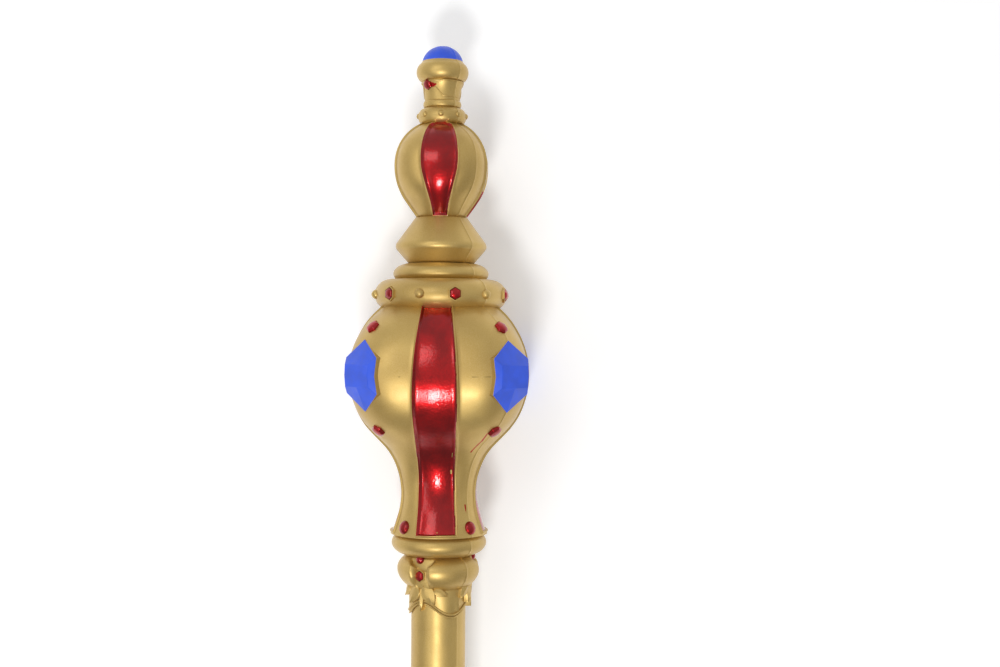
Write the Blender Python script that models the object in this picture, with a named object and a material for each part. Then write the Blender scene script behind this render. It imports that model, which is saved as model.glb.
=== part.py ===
"""A costume sceptre of moulded hollow plastic, lying on its side, in three sections.

Metres, +Z up. The head points along +X and the floor is z = 0, with the origin on the floor
under the middle of the sceptre's box.

Along the staff every place is a distance from its tip. Round it, azimuth 0 is the side that faces
up as the sceptre lies, and azimuths grow towards -Y.
"""
import math
from collections import namedtuple

import bmesh
import bpy
from mathutils import Vector

# ---- Driving dimensions -------------------------------------------------------------------------

SCEPTRE_LENGTH = 1.200
TUBE_RADIUS = 0.0135
FIT_GAP = 0.0003
SOCKET_DEPTH = 0.012
SOCKET_LIP = 0.0008
COUPLING_LENGTH = 0.024
COUPLING_EDGE = 0.0122
COUPLING_EDGE_RADIUS = 0.0214
COUPLING_ROUNDING = 0.0036
HEAD_GRIP_END = 0.380
FOOT_GRIP_END = 0.165

# A bead is a ring of elliptical section: where its middle is, its half length along the staff,
# the radius that it stands on, how far it bulges from that, and where it starts and ends, as
# shares of its half length.
Bead = namedtuple("Bead", "middle half_length core bulge first last")

DOME_RADIUS = 0.0103
DOME_JOIN = math.radians(80)
RIM_BEAD = Bead(0.0141, 0.0048, 0.0092, 0.0038, -0.97, 0.97)
CUP_START = 0.0190
CUP_END = 0.0275
CUP_RIM_RADIUS = 0.0106
CUP_NECK_RADIUS = 0.0089
CUP_BEAD = Bead(0.0302, 0.0017, 0.0087, 0.0008, -1.0, 1.0)
STUD_BEAD = Bead(0.0363, 0.0040, 0.0090, 0.0030, -0.98, 0.80)

SMALL_BULB_MIDDLE = 0.0611
SMALL_BULB_RADIUS = 0.0234
SMALL_BULB_UPPER_LENGTH = 0.0229
SMALL_BULB_LOWER_LENGTH = 0.0262
SMALL_BULB_START = 0.0392
SMALL_BULB_TAPER_START = 0.0775
SMALL_BULB_TAPER_SLOPE = -0.72
SMALL_BULB_END = 0.0862

# A cone ring is two conical flanks that meet at a rounded edge.
ConeRing = namedtuple("ConeRing", "start start_radius edge edge_radius end end_radius rounding")
HEAD_CONES = ConeRing(0.0868, 0.0131, 0.1011, 0.0235, 0.1092, 0.0165, 0.0030)

DISK_BEAD = Bead(0.1146, 0.0052, 0.0150, 0.0088, -0.98, 0.60)
GEM_BEAD = Bead(0.1252, 0.0078, 0.0245, 0.0085, -0.97, 0.70)

BULB_MIDDLE = 0.1644
BULB_RADIUS = 0.0456
BULB_HALF_LENGTH = 0.0430
BULB_START = 0.1312
BULB_WAIST_JOIN = 0.1953
WAIST_MIDDLE = 0.2224
WAIST_RADIUS = 0.0190
WAIST_UPPER_CURVE = 0.0362
WAIST_LOWER_CURVE = 0.0405
FLARE_START = 0.2360
FLARE_END = 0.2437
BASE_BEAD = Bead(0.2482, 0.0060, 0.0150, 0.0086, -0.60, 0.96)

# Each bulb swells between its panels into four lobes: how far its radius falls at a panel and
# rises beside it, and how strongly that is felt (0 to 1) at places down the staff.
LOBE_VALLEY = 0.045
LOBE_SWELL = 0.19
LOBE_POWER = 2.4
SMALL_BULB_LOBES = (
    (0.0392, 0.0), (0.0470, 0.5), (0.0600, 0.5), (0.0700, 0.4), (0.0790, 0.0), (0.0862, 0.0),
)
MAIN_BULB_LOBES = (
    (0.1312, 0.45), (0.1400, 0.85), (0.1500, 1.0), (0.1640, 1.0), (0.1860, 0.85), (0.2000, 0.5),
    (0.2230, 0.4), (0.2437, 0.0),
)

KNOP_START = 0.2543
KNOP_MIDDLE = 0.2610
KNOP_END = 0.2706
KNOP_RADIUS = 0.0207
KNOP_UPPER_LENGTH = 0.0086
KNOP_LOWER_LENGTH = 0.0132
KNOP_HOLLOW = 0.0020
KNOP_HOLLOW_RAMP = math.radians(9)
KNOP_GAP_AT_MIDDLE = math.radians(10)
KNOP_GAP_AT_TOP = math.radians(30)
COLLAR_RADIUS = 0.0147
COLLAR_CORD_SLOPE = 0.0009
FESTOON_HIGH = 0.2765
FESTOON_LOW = 0.2833
FESTOON_CORD = 0.0007

# Recessed panels, four round the head on each bulb: half widths across at places down the staff.
PANEL_AZIMUTHS = tuple(math.radians(angle) for angle in (0, 90, 180, 270))
SMALL_PANEL_WIDTHS = (
    (0.0392, 0.0040), (0.0450, 0.0066), (0.0550, 0.0086), (0.0630, 0.0086),
    (0.0720, 0.0066), (0.0800, 0.0044), (0.0862, 0.0034),
)
MAIN_PANEL_WIDTHS = (
    (0.1312, 0.0072), (0.1520, 0.0098), (0.1740, 0.0109), (0.1970, 0.0097),
    (0.2120, 0.0085), (0.2230, 0.0085), (0.2437, 0.0097),
)
PANEL_DEPTH = 0.0007
PANEL_LIP_HEIGHT = 0.0006
PANEL_LIP_WIDTH = 0.0009
PANEL_WALL_WIDTH = 0.0006
PANEL_END_STEP = 0.0003
PANEL_MIDDLE_SHARE = 0.4

# Gems and studs: half length along the staff, half width round it, and height.
Stone = namedtuple("Stone", "half_length half_width height")
STUD = Stone(0.0017, 0.0017, 0.0007)
RING_RED_STONE = Stone(0.0037, 0.0031, 0.0017)
RING_GOLD_STUD = Stone(0.0025, 0.0024, 0.0020)
SMALL_STONE = Stone(0.0038, 0.0030, 0.0015)
FLARE_STONE = Stone(0.0033, 0.0031, 0.0015)
KNOP_STONE = Stone(0.0033, 0.0028, 0.0026)
KNOP_BEAD_STONE = Stone(0.0024, 0.0024, 0.0015)
CUP_STONE = Stone(0.0026, 0.0024, 0.0010)
STONE_SINK = 0.0016
# A stud's and a set stone's outline: how wide each is at its root, its bezel and its top.
STUD_SHARES = (1.15, 0.60)
SET_STONE_SHARES = (1.0, 0.95, 0.55)
BEZEL_SHARE = 0.45
TILT_SPAN = 0.0002

# One blue stone stands on each lobe of the main bulb. Its face is straight across and follows the
# bulb along the staff.
LOBE_AZIMUTHS = tuple(math.radians(angle) for angle in (45, 135, 225, 315))
BLUE_PLACE = 0.1646
BLUE_HALF_LENGTH = 0.0173
BLUE_CORNER = 0.0086
BLUE_HALF_WIDTH = 0.0114
BLUE_WAIST = 0.0110
BLUE_SINK = 0.0045
BLUE_WALL = 0.0005
BLUE_TABLE_SCALE = 0.80
BLUE_TABLE_HEIGHT = 0.0015
SMALL_STONE_UPPER = 0.1414
SMALL_STONE_LOWER = 0.1911
FLARE_STONE_PLACE = 0.2392
CUP_STONE_PLACE = 0.0212
CUP_STONE_AZIMUTHS = tuple(math.radians(angle) for angle in (-45, 135))

KNOP_ORNAMENT_AZIMUTHS = tuple(math.radians(angle) for angle in (-30, 90, 210))
KNOP_STONE_PLACE = 0.2632
KNOP_BEAD_STONE_PLACE = 0.2560
LEAF_RISE = 0.0014
LEAF_EDGE_SHARE = 0.6
LEAF_CREST_SHARE = 0.40
LEAF_OUTLINE = (
    (1.0, 0.0), (0.35, 1.0), (-0.45, 0.85), (-1.0, 0.0), (-0.45, -0.85), (0.35, -1.0),
)
LEAF_SINK = 0.0036
LEAF_SINK_STEP = 0.0004
Leaf = namedtuple("Leaf", "place sideways half_length half_width turn")
KNOP_LEAVES = (
    Leaf(0.2743, 0.0000, 0.0064, 0.0027, 0),
    Leaf(0.2727, 0.0045, 0.0060, 0.0029, math.radians(36)),
    Leaf(0.2727, -0.0045, 0.0060, 0.0029, math.radians(-36)),
    Leaf(0.2712, 0.0088, 0.0034, 0.0018, math.radians(72)),
    Leaf(0.2712, -0.0088, 0.0034, 0.0018, math.radians(-72)),
)

# The foot end, as distances from the foot's own tip.
BALL_RADIUS = 0.0194
BALL_JOIN = math.radians(78)
FOOT_RING_BEAD = Bead(0.0243, 0.0093, 0.0188, 0.0068, -0.90, 0.90)
FOOT_CUP_START = 0.0330
FOOT_CUP_END = 0.0505
FOOT_CUP_RIM_RADIUS = 0.0206
FOOT_CUP_NECK_RADIUS = 0.0157
FOOT_BEAD = Bead(0.0572, 0.0061, 0.0150, 0.0052, -0.95, 0.95)
FOOT_BEAD_STEP = 0.0005
FOOT_STONE = Stone(0.0027, 0.0024, 0.0013)
FOOT_CUP_STONE_PLACE = 0.0395
FOOT_CUP_STONE_AZIMUTHS = tuple(math.radians(angle) for angle in (-67, 113))
STONES_ROUND_A_RING = 12
STUDS_ROUND_THE_NECK = 8

# Flat spots that keep the sceptre from rolling, as distances of the floor from the staff's axis.
HEAD_REST_REACH = 0.0445
FOOT_REST_REACH = 0.0252
SLAB_SIZE = (1.4, 0.2, 0.1)

PLAIN_COLUMNS = 20
TUBE_COLUMNS = 16
COLLAR_COLUMNS = 24
WIDE_COLUMNS = 24
FIELD_STEPS = 4
CUSHION_STEPS = 4
SMOOTH_BELOW = math.radians(35)
TURN = 2 * math.pi

GOLD = (0.46, 0.30, 0.085)
GOLD_ROUGHNESS = 0.38
GOLD_METALLIC = 0.85
RED = (0.36, 0.008, 0.012)
RED_ROUGHNESS = 0.22
RED_METALLIC = 0.35


# ---- Profiles: lists of (distance from the tip, radius) ----------------------------------------

def bead_profile(bead, steps):
    """Points round a bead's elliptical section, from one side of it to the other."""
    first, last = math.asin(bead.first), math.asin(bead.last)
    points = []
    for step in range(steps + 1):
        angle = first + (last - first) * step / steps
        points.append((bead.middle + bead.half_length * math.sin(angle),
                       bead.core + bead.bulge * math.cos(angle)))
    return points


def cone_ring_profile(ring, steps):
    """Two conical flanks, with an arc tangent to both where they meet."""
    up = Vector((ring.edge - ring.start, ring.edge_radius - ring.start_radius)).normalized()
    down = Vector((ring.end - ring.edge, ring.end_radius - ring.edge_radius)).normalized()
    bend = up.angle(down)
    setback = ring.rounding * math.tan(bend / 2)
    edge = Vector((ring.edge, ring.edge_radius))
    centre = edge - up * setback + Vector((up.y, -up.x)) * ring.rounding
    first = math.atan2(up.x, -up.y)
    points = [(ring.start, ring.start_radius)]
    for step in range(steps + 1):
        angle = first - bend * step / steps
        points.append((centre.x + ring.rounding * math.cos(angle),
                       centre.y + ring.rounding * math.sin(angle)))
    points.append((ring.end, ring.end_radius))
    return points


def dome_profile(radius, last_angle, steps):
    """A ball's cap from its pole, without the pole itself."""
    return [(radius - radius * math.cos(last_angle * step / steps),
             radius * math.sin(last_angle * step / steps)) for step in range(1, steps + 1)]


def cup_profile(start, end, rim_radius, neck_radius, steps):
    """A cup's hollow curve, steep at its rim and upright at its neck."""
    points = []
    for step in range(steps + 1):
        share = step / steps
        points.append((start + (end - start) * share,
                       neck_radius + (rim_radius - neck_radius) * (1 - share) ** 2))
    return points


def ellipse_height(offset, half_length, height):
    return height * math.sqrt(max(0.0, 1 - (offset / half_length) ** 2))


def small_bulb_radius(place):
    """A round upper half, a longer lower half, then a straight taper."""
    if place < SMALL_BULB_MIDDLE:
        return ellipse_height(SMALL_BULB_MIDDLE - place, SMALL_BULB_UPPER_LENGTH,
                              SMALL_BULB_RADIUS)
    round_part = min(place, SMALL_BULB_TAPER_START)
    radius = ellipse_height(round_part - SMALL_BULB_MIDDLE, SMALL_BULB_LOWER_LENGTH,
                            SMALL_BULB_RADIUS)
    return radius + SMALL_BULB_TAPER_SLOPE * (place - round_part)


def main_bulb_radius(place):
    """The large bulb, the hollow curve of its waist and the straight flare below."""
    if place < BULB_WAIST_JOIN:
        return ellipse_height(place - BULB_MIDDLE, BULB_HALF_LENGTH, BULB_RADIUS)
    curve = WAIST_UPPER_CURVE if place < WAIST_MIDDLE else WAIST_LOWER_CURVE
    curved = min(place, FLARE_START) - WAIST_MIDDLE
    depth = math.sqrt(curve ** 2 - curved ** 2)
    radius = WAIST_RADIUS + curve - depth
    return radius + max(0.0, place - FLARE_START) * curved / depth


def lobed(radius, lobing, turn):
    """A bulb's radius at a turn from a panel's middle: low there, highest between panels."""
    swell = LOBE_SWELL * abs(math.sin(len(PANEL_AZIMUTHS) / 2 * turn)) ** LOBE_POWER
    return radius * (1 + lobing * (swell - LOBE_VALLEY))


def lobe_crest_radius(place):
    """The main bulb along the top of a lobe, where its stones stand."""
    return lobed(main_bulb_radius(place), smooth_through(MAIN_BULB_LOBES, place),
                 LOBE_AZIMUTHS[0] - PANEL_AZIMUTHS[0])


def knop_radius(place):
    """The outer faces of the knop's cushions."""
    half_length = KNOP_UPPER_LENGTH if place < KNOP_MIDDLE else KNOP_LOWER_LENGTH
    return ellipse_height(place - KNOP_MIDDLE, half_length, KNOP_RADIUS)


def ornament_ground(place):
    """The knop where its ornaments stand: half way down the hollow between two cushions."""
    return knop_radius(place) - KNOP_HOLLOW / 2


def bead_radius(bead):
    return lambda place: bead.core + ellipse_height(place - bead.middle, bead.half_length,
                                                    bead.bulge)


def cup_radius(start, end, rim_radius, neck_radius):
    return lambda place: (neck_radius + (rim_radius - neck_radius)
                          * (1 - (place - start) / (end - start)) ** 2)


def smooth_through(stations, place):
    """A value read from a smooth curve through (place, value) stations."""
    last = len(stations) - 1
    index = next((i for i in range(last) if place < stations[i + 1][0]), last - 1)
    (x0, y0), (x1, y1) = stations[index], stations[index + 1]
    before = stations[max(index - 1, 0)]
    after = stations[min(index + 2, last)]
    slope0 = (y1 - before[1]) / (x1 - before[0])
    slope1 = (after[1] - y0) / (after[0] - x0)
    share = (place - x0) / (x1 - x0)
    width = x1 - x0
    return ((1 + 2 * share) * (1 - share) ** 2 * y0 + share * (1 - share) ** 2 * width * slope0
            + share ** 2 * (3 - 2 * share) * y1 - share ** 2 * (1 - share) * width * slope1)


# ---- Rings: lists of (azimuth, distance from the tip, radius) ----------------------------------

def round_rings(profile, columns):
    """A plain ring of points for each point of a profile."""
    return [[(TURN * column / columns, place, radius) for column in range(columns)]
            for place, radius in profile]


def panel_ring(place, radius, lobing, half_width, recess=1.0):
    """A ring with a recessed panel in each valley, each inside a thin raised lip."""
    crest = math.asin(half_width / radius)
    lip = PANEL_LIP_WIDTH / radius
    wall = PANEL_WALL_WIDTH / radius
    section = [(crest + lip, 0.0), (crest, PANEL_LIP_HEIGHT), (crest - wall, -PANEL_DEPTH),
               (PANEL_MIDDLE_SHARE * crest, -PANEL_DEPTH)]
    section = ([(-turn, lift) for turn, lift in section]
               + [(turn, lift) for turn, lift in reversed(section)])
    field = TURN / len(PANEL_AZIMUTHS) - 2 * (crest + lip)
    between = [(crest + lip + field * step / FIELD_STEPS, 0.0) for step in range(1, FIELD_STEPS)]
    return [(centre + turn, place, lobed(radius, lobing, turn) + lift * recess)
            for centre in PANEL_AZIMUTHS for turn, lift in section + between]


def panelled_rings(places, radius_at, lobes, widths):
    """Rings down a bulb, with the panels' lip across both of their ends."""
    def ring_at(place, recess=1.0):
        station = min(place, places[-1])
        return panel_ring(place, radius_at(place), smooth_through(lobes, station),
                          smooth_through(widths, station), recess)

    first_step = places[0] + PANEL_END_STEP
    return ([ring_at(places[0], 0.0), ring_at(first_step)] + [ring_at(place) for place in places[1:]]
            + [ring_at(places[-1] + PANEL_END_STEP, 0.0)])


def spaced(start, end, steps):
    return [start + (end - start) * step / steps for step in range(steps + 1)]


def knop_rings():
    """Three puffed cushions round the knop, with hollows between them for the ornaments."""
    rings = []
    for place in spaced(KNOP_START, KNOP_END, 5):
        radius = knop_radius(place)
        hollow = min(KNOP_HOLLOW, radius - COLLAR_RADIUS)
        spread = max(0.0, (KNOP_MIDDLE - place) / (KNOP_MIDDLE - KNOP_START))
        gap = KNOP_GAP_AT_MIDDLE + (KNOP_GAP_AT_TOP - KNOP_GAP_AT_MIDDLE) * spread
        edge = gap + KNOP_HOLLOW_RAMP
        section = [(-edge, 0.0), (-gap, -hollow), (-gap / 3, -hollow), (gap / 3, -hollow),
                   (gap, -hollow), (edge, 0.0)]
        cushion = TURN / len(KNOP_ORNAMENT_AZIMUTHS) - 2 * edge
        section += [(edge + cushion * step / CUSHION_STEPS, 0.0)
                    for step in range(1, CUSHION_STEPS)]
        rings.append([(centre + turn, place, radius + lift)
                      for centre in KNOP_ORNAMENT_AZIMUTHS for turn, lift in section])
    return rings


def festoon_place(azimuth):
    """The collar's lower edge: it hangs in a swag between each two ornaments."""
    phase = len(KNOP_ORNAMENT_AZIMUTHS) * (azimuth - KNOP_ORNAMENT_AZIMUTHS[0])
    return FESTOON_HIGH + (FESTOON_LOW - FESTOON_HIGH) * (1 - math.cos(phase)) / 2


def collar_rings():
    """A collar one step thicker than the tube, with a cord along its hanging edge."""
    rings = []
    cord_edge = FESTOON_CORD * math.sin(math.radians(45))
    for offset, radius in ((-cord_edge - COLLAR_CORD_SLOPE, COLLAR_RADIUS),
                           (-cord_edge, COLLAR_RADIUS + FESTOON_CORD),
                           (cord_edge, COLLAR_RADIUS + FESTOON_CORD),
                           (2 * cord_edge, TUBE_RADIUS)):
        azimuths = [KNOP_ORNAMENT_AZIMUTHS[0] + TURN * column / COLLAR_COLUMNS
                    for column in range(COLLAR_COLUMNS)]
        rings.append([(azimuth, festoon_place(azimuth) + offset, radius) for azimuth in azimuths])
    return rings


# ---- Solids -------------------------------------------------------------------------------------

def staff_point(azimuth, place, radius):
    """A point of the staff's own frame, with the tip at x = 0 and the staff along -X."""
    return Vector((-place, -radius * math.sin(azimuth), radius * math.cos(azimuth)))


def stitch(mesh, ring_a, ring_b):
    """Join two rings of (azimuth, vertex): corner by corner where their counts are the same."""
    def azimuth_of(ring, index):
        return ring[index % len(ring)][0] + TURN * (index // len(ring))

    if len(ring_a) == len(ring_b):
        for i in range(len(ring_a)):
            j = (i + 1) % len(ring_a)
            mesh.faces.new((ring_a[i][1], ring_a[j][1], ring_b[j][1], ring_b[i][1]))
        return
    a = b = 0
    while a < len(ring_a) or b < len(ring_b):
        corner_a = ring_a[a % len(ring_a)][1]
        corner_b = ring_b[b % len(ring_b)][1]
        on_a = b >= len(ring_b) or (a < len(ring_a)
                                    and azimuth_of(ring_a, a + 1) <= azimuth_of(ring_b, b + 1))
        if on_a:
            a += 1
            mesh.faces.new((corner_a, ring_a[a % len(ring_a)][1], corner_b))
        else:
            b += 1
            mesh.faces.new((corner_a, ring_b[b % len(ring_b)][1], corner_b))


def close_end(mesh, ring, place):
    """Fan an end ring to a point on the axis."""
    tip = mesh.verts.new(staff_point(0.0, place, 0.0))
    corners = [vertex for azimuth, vertex in ring]
    for corner, following in zip(corners, corners[1:] + corners[:1]):
        mesh.faces.new((corner, following, tip))


def turned_solid(name, rings, first_place, last_place):
    """A closed solid through rings of points, closed on the axis at both ends."""
    mesh = bmesh.new()
    skins = [[(azimuth, mesh.verts.new(staff_point(azimuth, place, radius)))
              for azimuth, place, radius in ring] for ring in rings]
    for ring_a, ring_b in zip(skins, skins[1:]):
        stitch(mesh, ring_a, ring_b)
    close_end(mesh, skins[0], first_place)
    close_end(mesh, skins[-1], last_place)
    return finished_object(name, mesh)


def finished_object(name, mesh):
    """A mesh of triangles, which stay flat where they meet other solids."""
    bmesh.ops.triangulate(mesh, faces=mesh.faces)
    bmesh.ops.recalc_face_normals(mesh, faces=mesh.faces)
    data = bpy.data.meshes.new(name)
    mesh.to_mesh(data)
    mesh.free()
    data.shade_smooth()
    data.set_sharp_from_angle(angle=SMOOTH_BELOW)
    piece = bpy.data.objects.new(name, data)
    bpy.context.collection.objects.link(piece)
    return piece


def lifted_point(azimuth, place, radius_at, along, across, lift):
    """A point of an ornament: along the surface from its middle, out of it, then straight across."""
    slope = (radius_at(place + TILT_SPAN) - radius_at(place - TILT_SPAN)) / (2 * TILT_SPAN)
    level = 1 / math.hypot(1.0, slope)
    own_place = place + along * level
    point = staff_point(azimuth, own_place - slope * level * lift,
                        radius_at(own_place) + level * lift)
    return point + across * Vector((0.0, -math.cos(azimuth), -math.sin(azimuth)))


def add_stack(mesh, azimuth, place, radius_at, outline, levels):
    """A stepped or domed ornament: one outline, scaled and lifted level by level."""
    rings = [[mesh.verts.new(lifted_point(azimuth, place, radius_at, along * scale,
                                          across * scale, lift)) for along, across in outline]
             for scale, lift in levels]
    for lower, upper in zip(rings, rings[1:]):
        for i in range(len(outline)):
            j = (i + 1) % len(outline)
            mesh.faces.new((lower[i], lower[j], upper[j], upper[i]))
    for ring, lift in ((rings[0], levels[0][1]), (rings[-1], levels[-1][1])):
        middle = mesh.verts.new(lifted_point(azimuth, place, radius_at, 0.0, 0.0, lift))
        for i in range(len(outline)):
            mesh.faces.new((ring[i], ring[(i + 1) % len(outline)], middle))


def hexagon(stone):
    """Six corners, two of them on the line along the staff."""
    side = math.radians(60)
    return [(stone.half_length * math.cos(side * corner),
             stone.half_width * math.sin(side * corner) / math.sin(side)) for corner in range(6)]


def add_stud(mesh, azimuth, place, radius_at, stone):
    """A bare six-sided stone with sloping sides and a flat top."""
    root, top = STUD_SHARES
    add_stack(mesh, azimuth, place, radius_at, hexagon(stone),
              ((root, -STONE_SINK), (top, stone.height)))


def add_set_stone(mesh, azimuth, place, radius_at, stone):
    """A six-sided stone that stands in a low bezel of its own shape."""
    root, bezel, top = SET_STONE_SHARES
    add_stack(mesh, azimuth, place, radius_at, hexagon(stone),
              ((root, -STONE_SINK), (bezel, BEZEL_SHARE * stone.height), (top, stone.height)))


def add_blue_stone(mesh, azimuth):
    """The large faceted stone: an upright wall, a bevel and a flat table."""
    half = [(BLUE_HALF_LENGTH, 0.0), (BLUE_CORNER, BLUE_HALF_WIDTH), (0.0, BLUE_WAIST),
            (-BLUE_CORNER, BLUE_HALF_WIDTH)]
    outline = half + [(-along, -across) for along, across in half]
    add_stack(mesh, azimuth, BLUE_PLACE, lobe_crest_radius, outline,
              ((1.0, -BLUE_SINK), (1.0, BLUE_WALL), (BLUE_TABLE_SCALE, BLUE_TABLE_HEIGHT)))


def add_leaf(mesh, azimuth, leaf, sink):
    """A pointed leaf with a raised middle, lying on the knop's lower edge."""
    def ground(place):
        return max(ornament_ground(min(place, KNOP_END)), COLLAR_RADIUS)

    outline = []
    for along, across in LEAF_OUTLINE:
        reach, side = along * leaf.half_length, across * leaf.half_width
        outline.append((reach * math.cos(leaf.turn) - side * math.sin(leaf.turn),
                        reach * math.sin(leaf.turn) + side * math.cos(leaf.turn)))
    own_azimuth = azimuth + leaf.sideways / ground(leaf.place)
    add_stack(mesh, own_azimuth, leaf.place, ground, outline,
              ((1.0, -sink), (1.0, LEAF_EDGE_SHARE * LEAF_RISE), (LEAF_CREST_SHARE, LEAF_RISE)))


# ---- Sections -----------------------------------------------------------------------------------

def coupling_profile(start):
    """The flared ring at the end of a gold tube, and the socket in its end face."""
    end = start + COUPLING_LENGTH
    mouth = TUBE_RADIUS + FIT_GAP
    ring = ConeRing(start, TUBE_RADIUS, start + COUPLING_EDGE, COUPLING_EDGE_RADIUS, end,
                    mouth + SOCKET_LIP, COUPLING_ROUNDING)
    floor = end - SOCKET_DEPTH
    return cone_ring_profile(ring, 3) + [(end, mouth), (floor, mouth)], floor


def head_rings():
    """Every ring of the head section, from the blue dome down to its coupling."""
    top = dome_profile(DOME_RADIUS, DOME_JOIN, 3)
    top += bead_profile(RIM_BEAD, 4)
    top += cup_profile(CUP_START, CUP_END, CUP_RIM_RADIUS, CUP_NECK_RADIUS, 3)
    top += bead_profile(CUP_BEAD, 2)
    top += bead_profile(STUD_BEAD, 4)
    rings = round_rings(top, PLAIN_COLUMNS)
    rings += panelled_rings(spaced(SMALL_BULB_START, SMALL_BULB_END, 8), small_bulb_radius,
                            SMALL_BULB_LOBES, SMALL_PANEL_WIDTHS)
    rings += round_rings(cone_ring_profile(HEAD_CONES, 3) + bead_profile(DISK_BEAD, 4),
                         PLAIN_COLUMNS)
    groove = (BULB_START - PANEL_END_STEP, main_bulb_radius(BULB_START))
    rings += round_rings(bead_profile(GEM_BEAD, 5) + [groove], WIDE_COLUMNS)
    places = spaced(BULB_START, BULB_WAIST_JOIN, 8) + spaced(BULB_WAIST_JOIN, FLARE_END, 6)[1:]
    rings += panelled_rings(places, main_bulb_radius, MAIN_BULB_LOBES, MAIN_PANEL_WIDTHS)
    rings += round_rings(bead_profile(BASE_BEAD, 4), WIDE_COLUMNS)
    rings += knop_rings()
    rings += collar_rings()
    coupling, floor = coupling_profile(HEAD_GRIP_END)
    rings += round_rings(coupling, TUBE_COLUMNS)
    return rings, floor


def head_ornaments():
    """Every stone, stud and leaf of the head, sunk into the surface that carries it."""
    mesh = bmesh.new()
    for step in range(STUDS_ROUND_THE_NECK):
        add_stud(mesh, TURN * step / STUDS_ROUND_THE_NECK, STUD_BEAD.middle,
                 bead_radius(STUD_BEAD), STUD)
    for step in range(STONES_ROUND_A_RING):
        azimuth = TURN * (step + 0.5) / STONES_ROUND_A_RING
        stone, add = (RING_GOLD_STUD, add_stud) if step % 2 else (RING_RED_STONE, add_set_stone)
        add(mesh, azimuth, GEM_BEAD.middle, bead_radius(GEM_BEAD), stone)
    for azimuth in LOBE_AZIMUTHS:
        add_blue_stone(mesh, azimuth)
        for place in (SMALL_STONE_UPPER, SMALL_STONE_LOWER):
            add_stud(mesh, azimuth, place, lobe_crest_radius, SMALL_STONE)
        add_stud(mesh, azimuth, FLARE_STONE_PLACE, lobe_crest_radius, FLARE_STONE)
    cup = cup_radius(CUP_START, CUP_END, CUP_RIM_RADIUS, CUP_NECK_RADIUS)
    for azimuth in CUP_STONE_AZIMUTHS:
        add_stud(mesh, azimuth, CUP_STONE_PLACE, cup, CUP_STONE)
    return finished_object("head_ornaments", mesh)


def knop_stones():
    """The two stones of each of the knop's ornaments."""
    mesh = bmesh.new()
    for azimuth in KNOP_ORNAMENT_AZIMUTHS:
        add_set_stone(mesh, azimuth, KNOP_STONE_PLACE, ornament_ground, KNOP_STONE)
        add_stud(mesh, azimuth, KNOP_BEAD_STONE_PLACE, ornament_ground, KNOP_BEAD_STONE)
    return finished_object("knop_stones", mesh)


def knop_leaves():
    """The spray of leaves under each pair of stones: one object for each leaf of the spray."""
    pieces = []
    for number, leaf in enumerate(KNOP_LEAVES):
        mesh = bmesh.new()
        for azimuth in KNOP_ORNAMENT_AZIMUTHS:
            add_leaf(mesh, azimuth, leaf, LEAF_SINK + LEAF_SINK_STEP * number)
        pieces.append(finished_object(f"knop_leaf_{number}", mesh))
    return pieces


def foot_rings():
    """Every ring of the foot section, from its ball up to its coupling."""
    foot = dome_profile(BALL_RADIUS, BALL_JOIN, 4)
    foot += bead_profile(FOOT_RING_BEAD, 4)
    foot += cup_profile(FOOT_CUP_START, FOOT_CUP_END, FOOT_CUP_RIM_RADIUS, FOOT_CUP_NECK_RADIUS, 3)
    foot += bead_profile(FOOT_BEAD, 4)
    foot.append((FOOT_BEAD.middle + FOOT_BEAD.half_length + FOOT_BEAD_STEP, TUBE_RADIUS))
    coupling, floor = coupling_profile(FOOT_GRIP_END)
    mirrored = [(SCEPTRE_LENGTH - place, radius) for place, radius in foot]
    mirrored_coupling = [(SCEPTRE_LENGTH - place, radius) for place, radius in coupling]
    rings = round_rings(mirrored, PLAIN_COLUMNS) + round_rings(mirrored_coupling, TUBE_COLUMNS)
    return rings, SCEPTRE_LENGTH - floor


def foot_ornaments():
    """The studs round the foot's ring and the two on its cup."""
    mesh = bmesh.new()
    ring = bead_radius(FOOT_RING_BEAD)
    cup = cup_radius(FOOT_CUP_START, FOOT_CUP_END, FOOT_CUP_RIM_RADIUS, FOOT_CUP_NECK_RADIUS)
    for step in range(STONES_ROUND_A_RING):
        azimuth = TURN * (step + 0.5) / STONES_ROUND_A_RING
        add_stud(mesh, azimuth, SCEPTRE_LENGTH - FOOT_RING_BEAD.middle,
                 lambda place: ring(SCEPTRE_LENGTH - place), FOOT_STONE)
    for azimuth in FOOT_CUP_STONE_AZIMUTHS:
        add_stud(mesh, azimuth, SCEPTRE_LENGTH - FOOT_CUP_STONE_PLACE,
                 lambda place: cup(SCEPTRE_LENGTH - place), CUP_STONE)
    return finished_object("foot_ornaments", mesh)


def plastic(name, colour, roughness, metallic):
    material = bpy.data.materials.new(name)
    material.use_nodes = True
    shader = material.node_tree.nodes["Principled BSDF"]
    shader.inputs["Base Color"].default_value = (*colour, 1.0)
    shader.inputs["Roughness"].default_value = roughness
    shader.inputs["Metallic"].default_value = metallic
    return material


def mark_as_cutter(piece):
    piece.hide_render = True
    piece.display_type = "WIRE"


def combine(piece, other, operation):
    mark_as_cutter(other)
    modifier = piece.modifiers.new(other.name, "BOOLEAN")
    modifier.operation = operation
    modifier.solver = "EXACT"
    modifier.object = other


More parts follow.
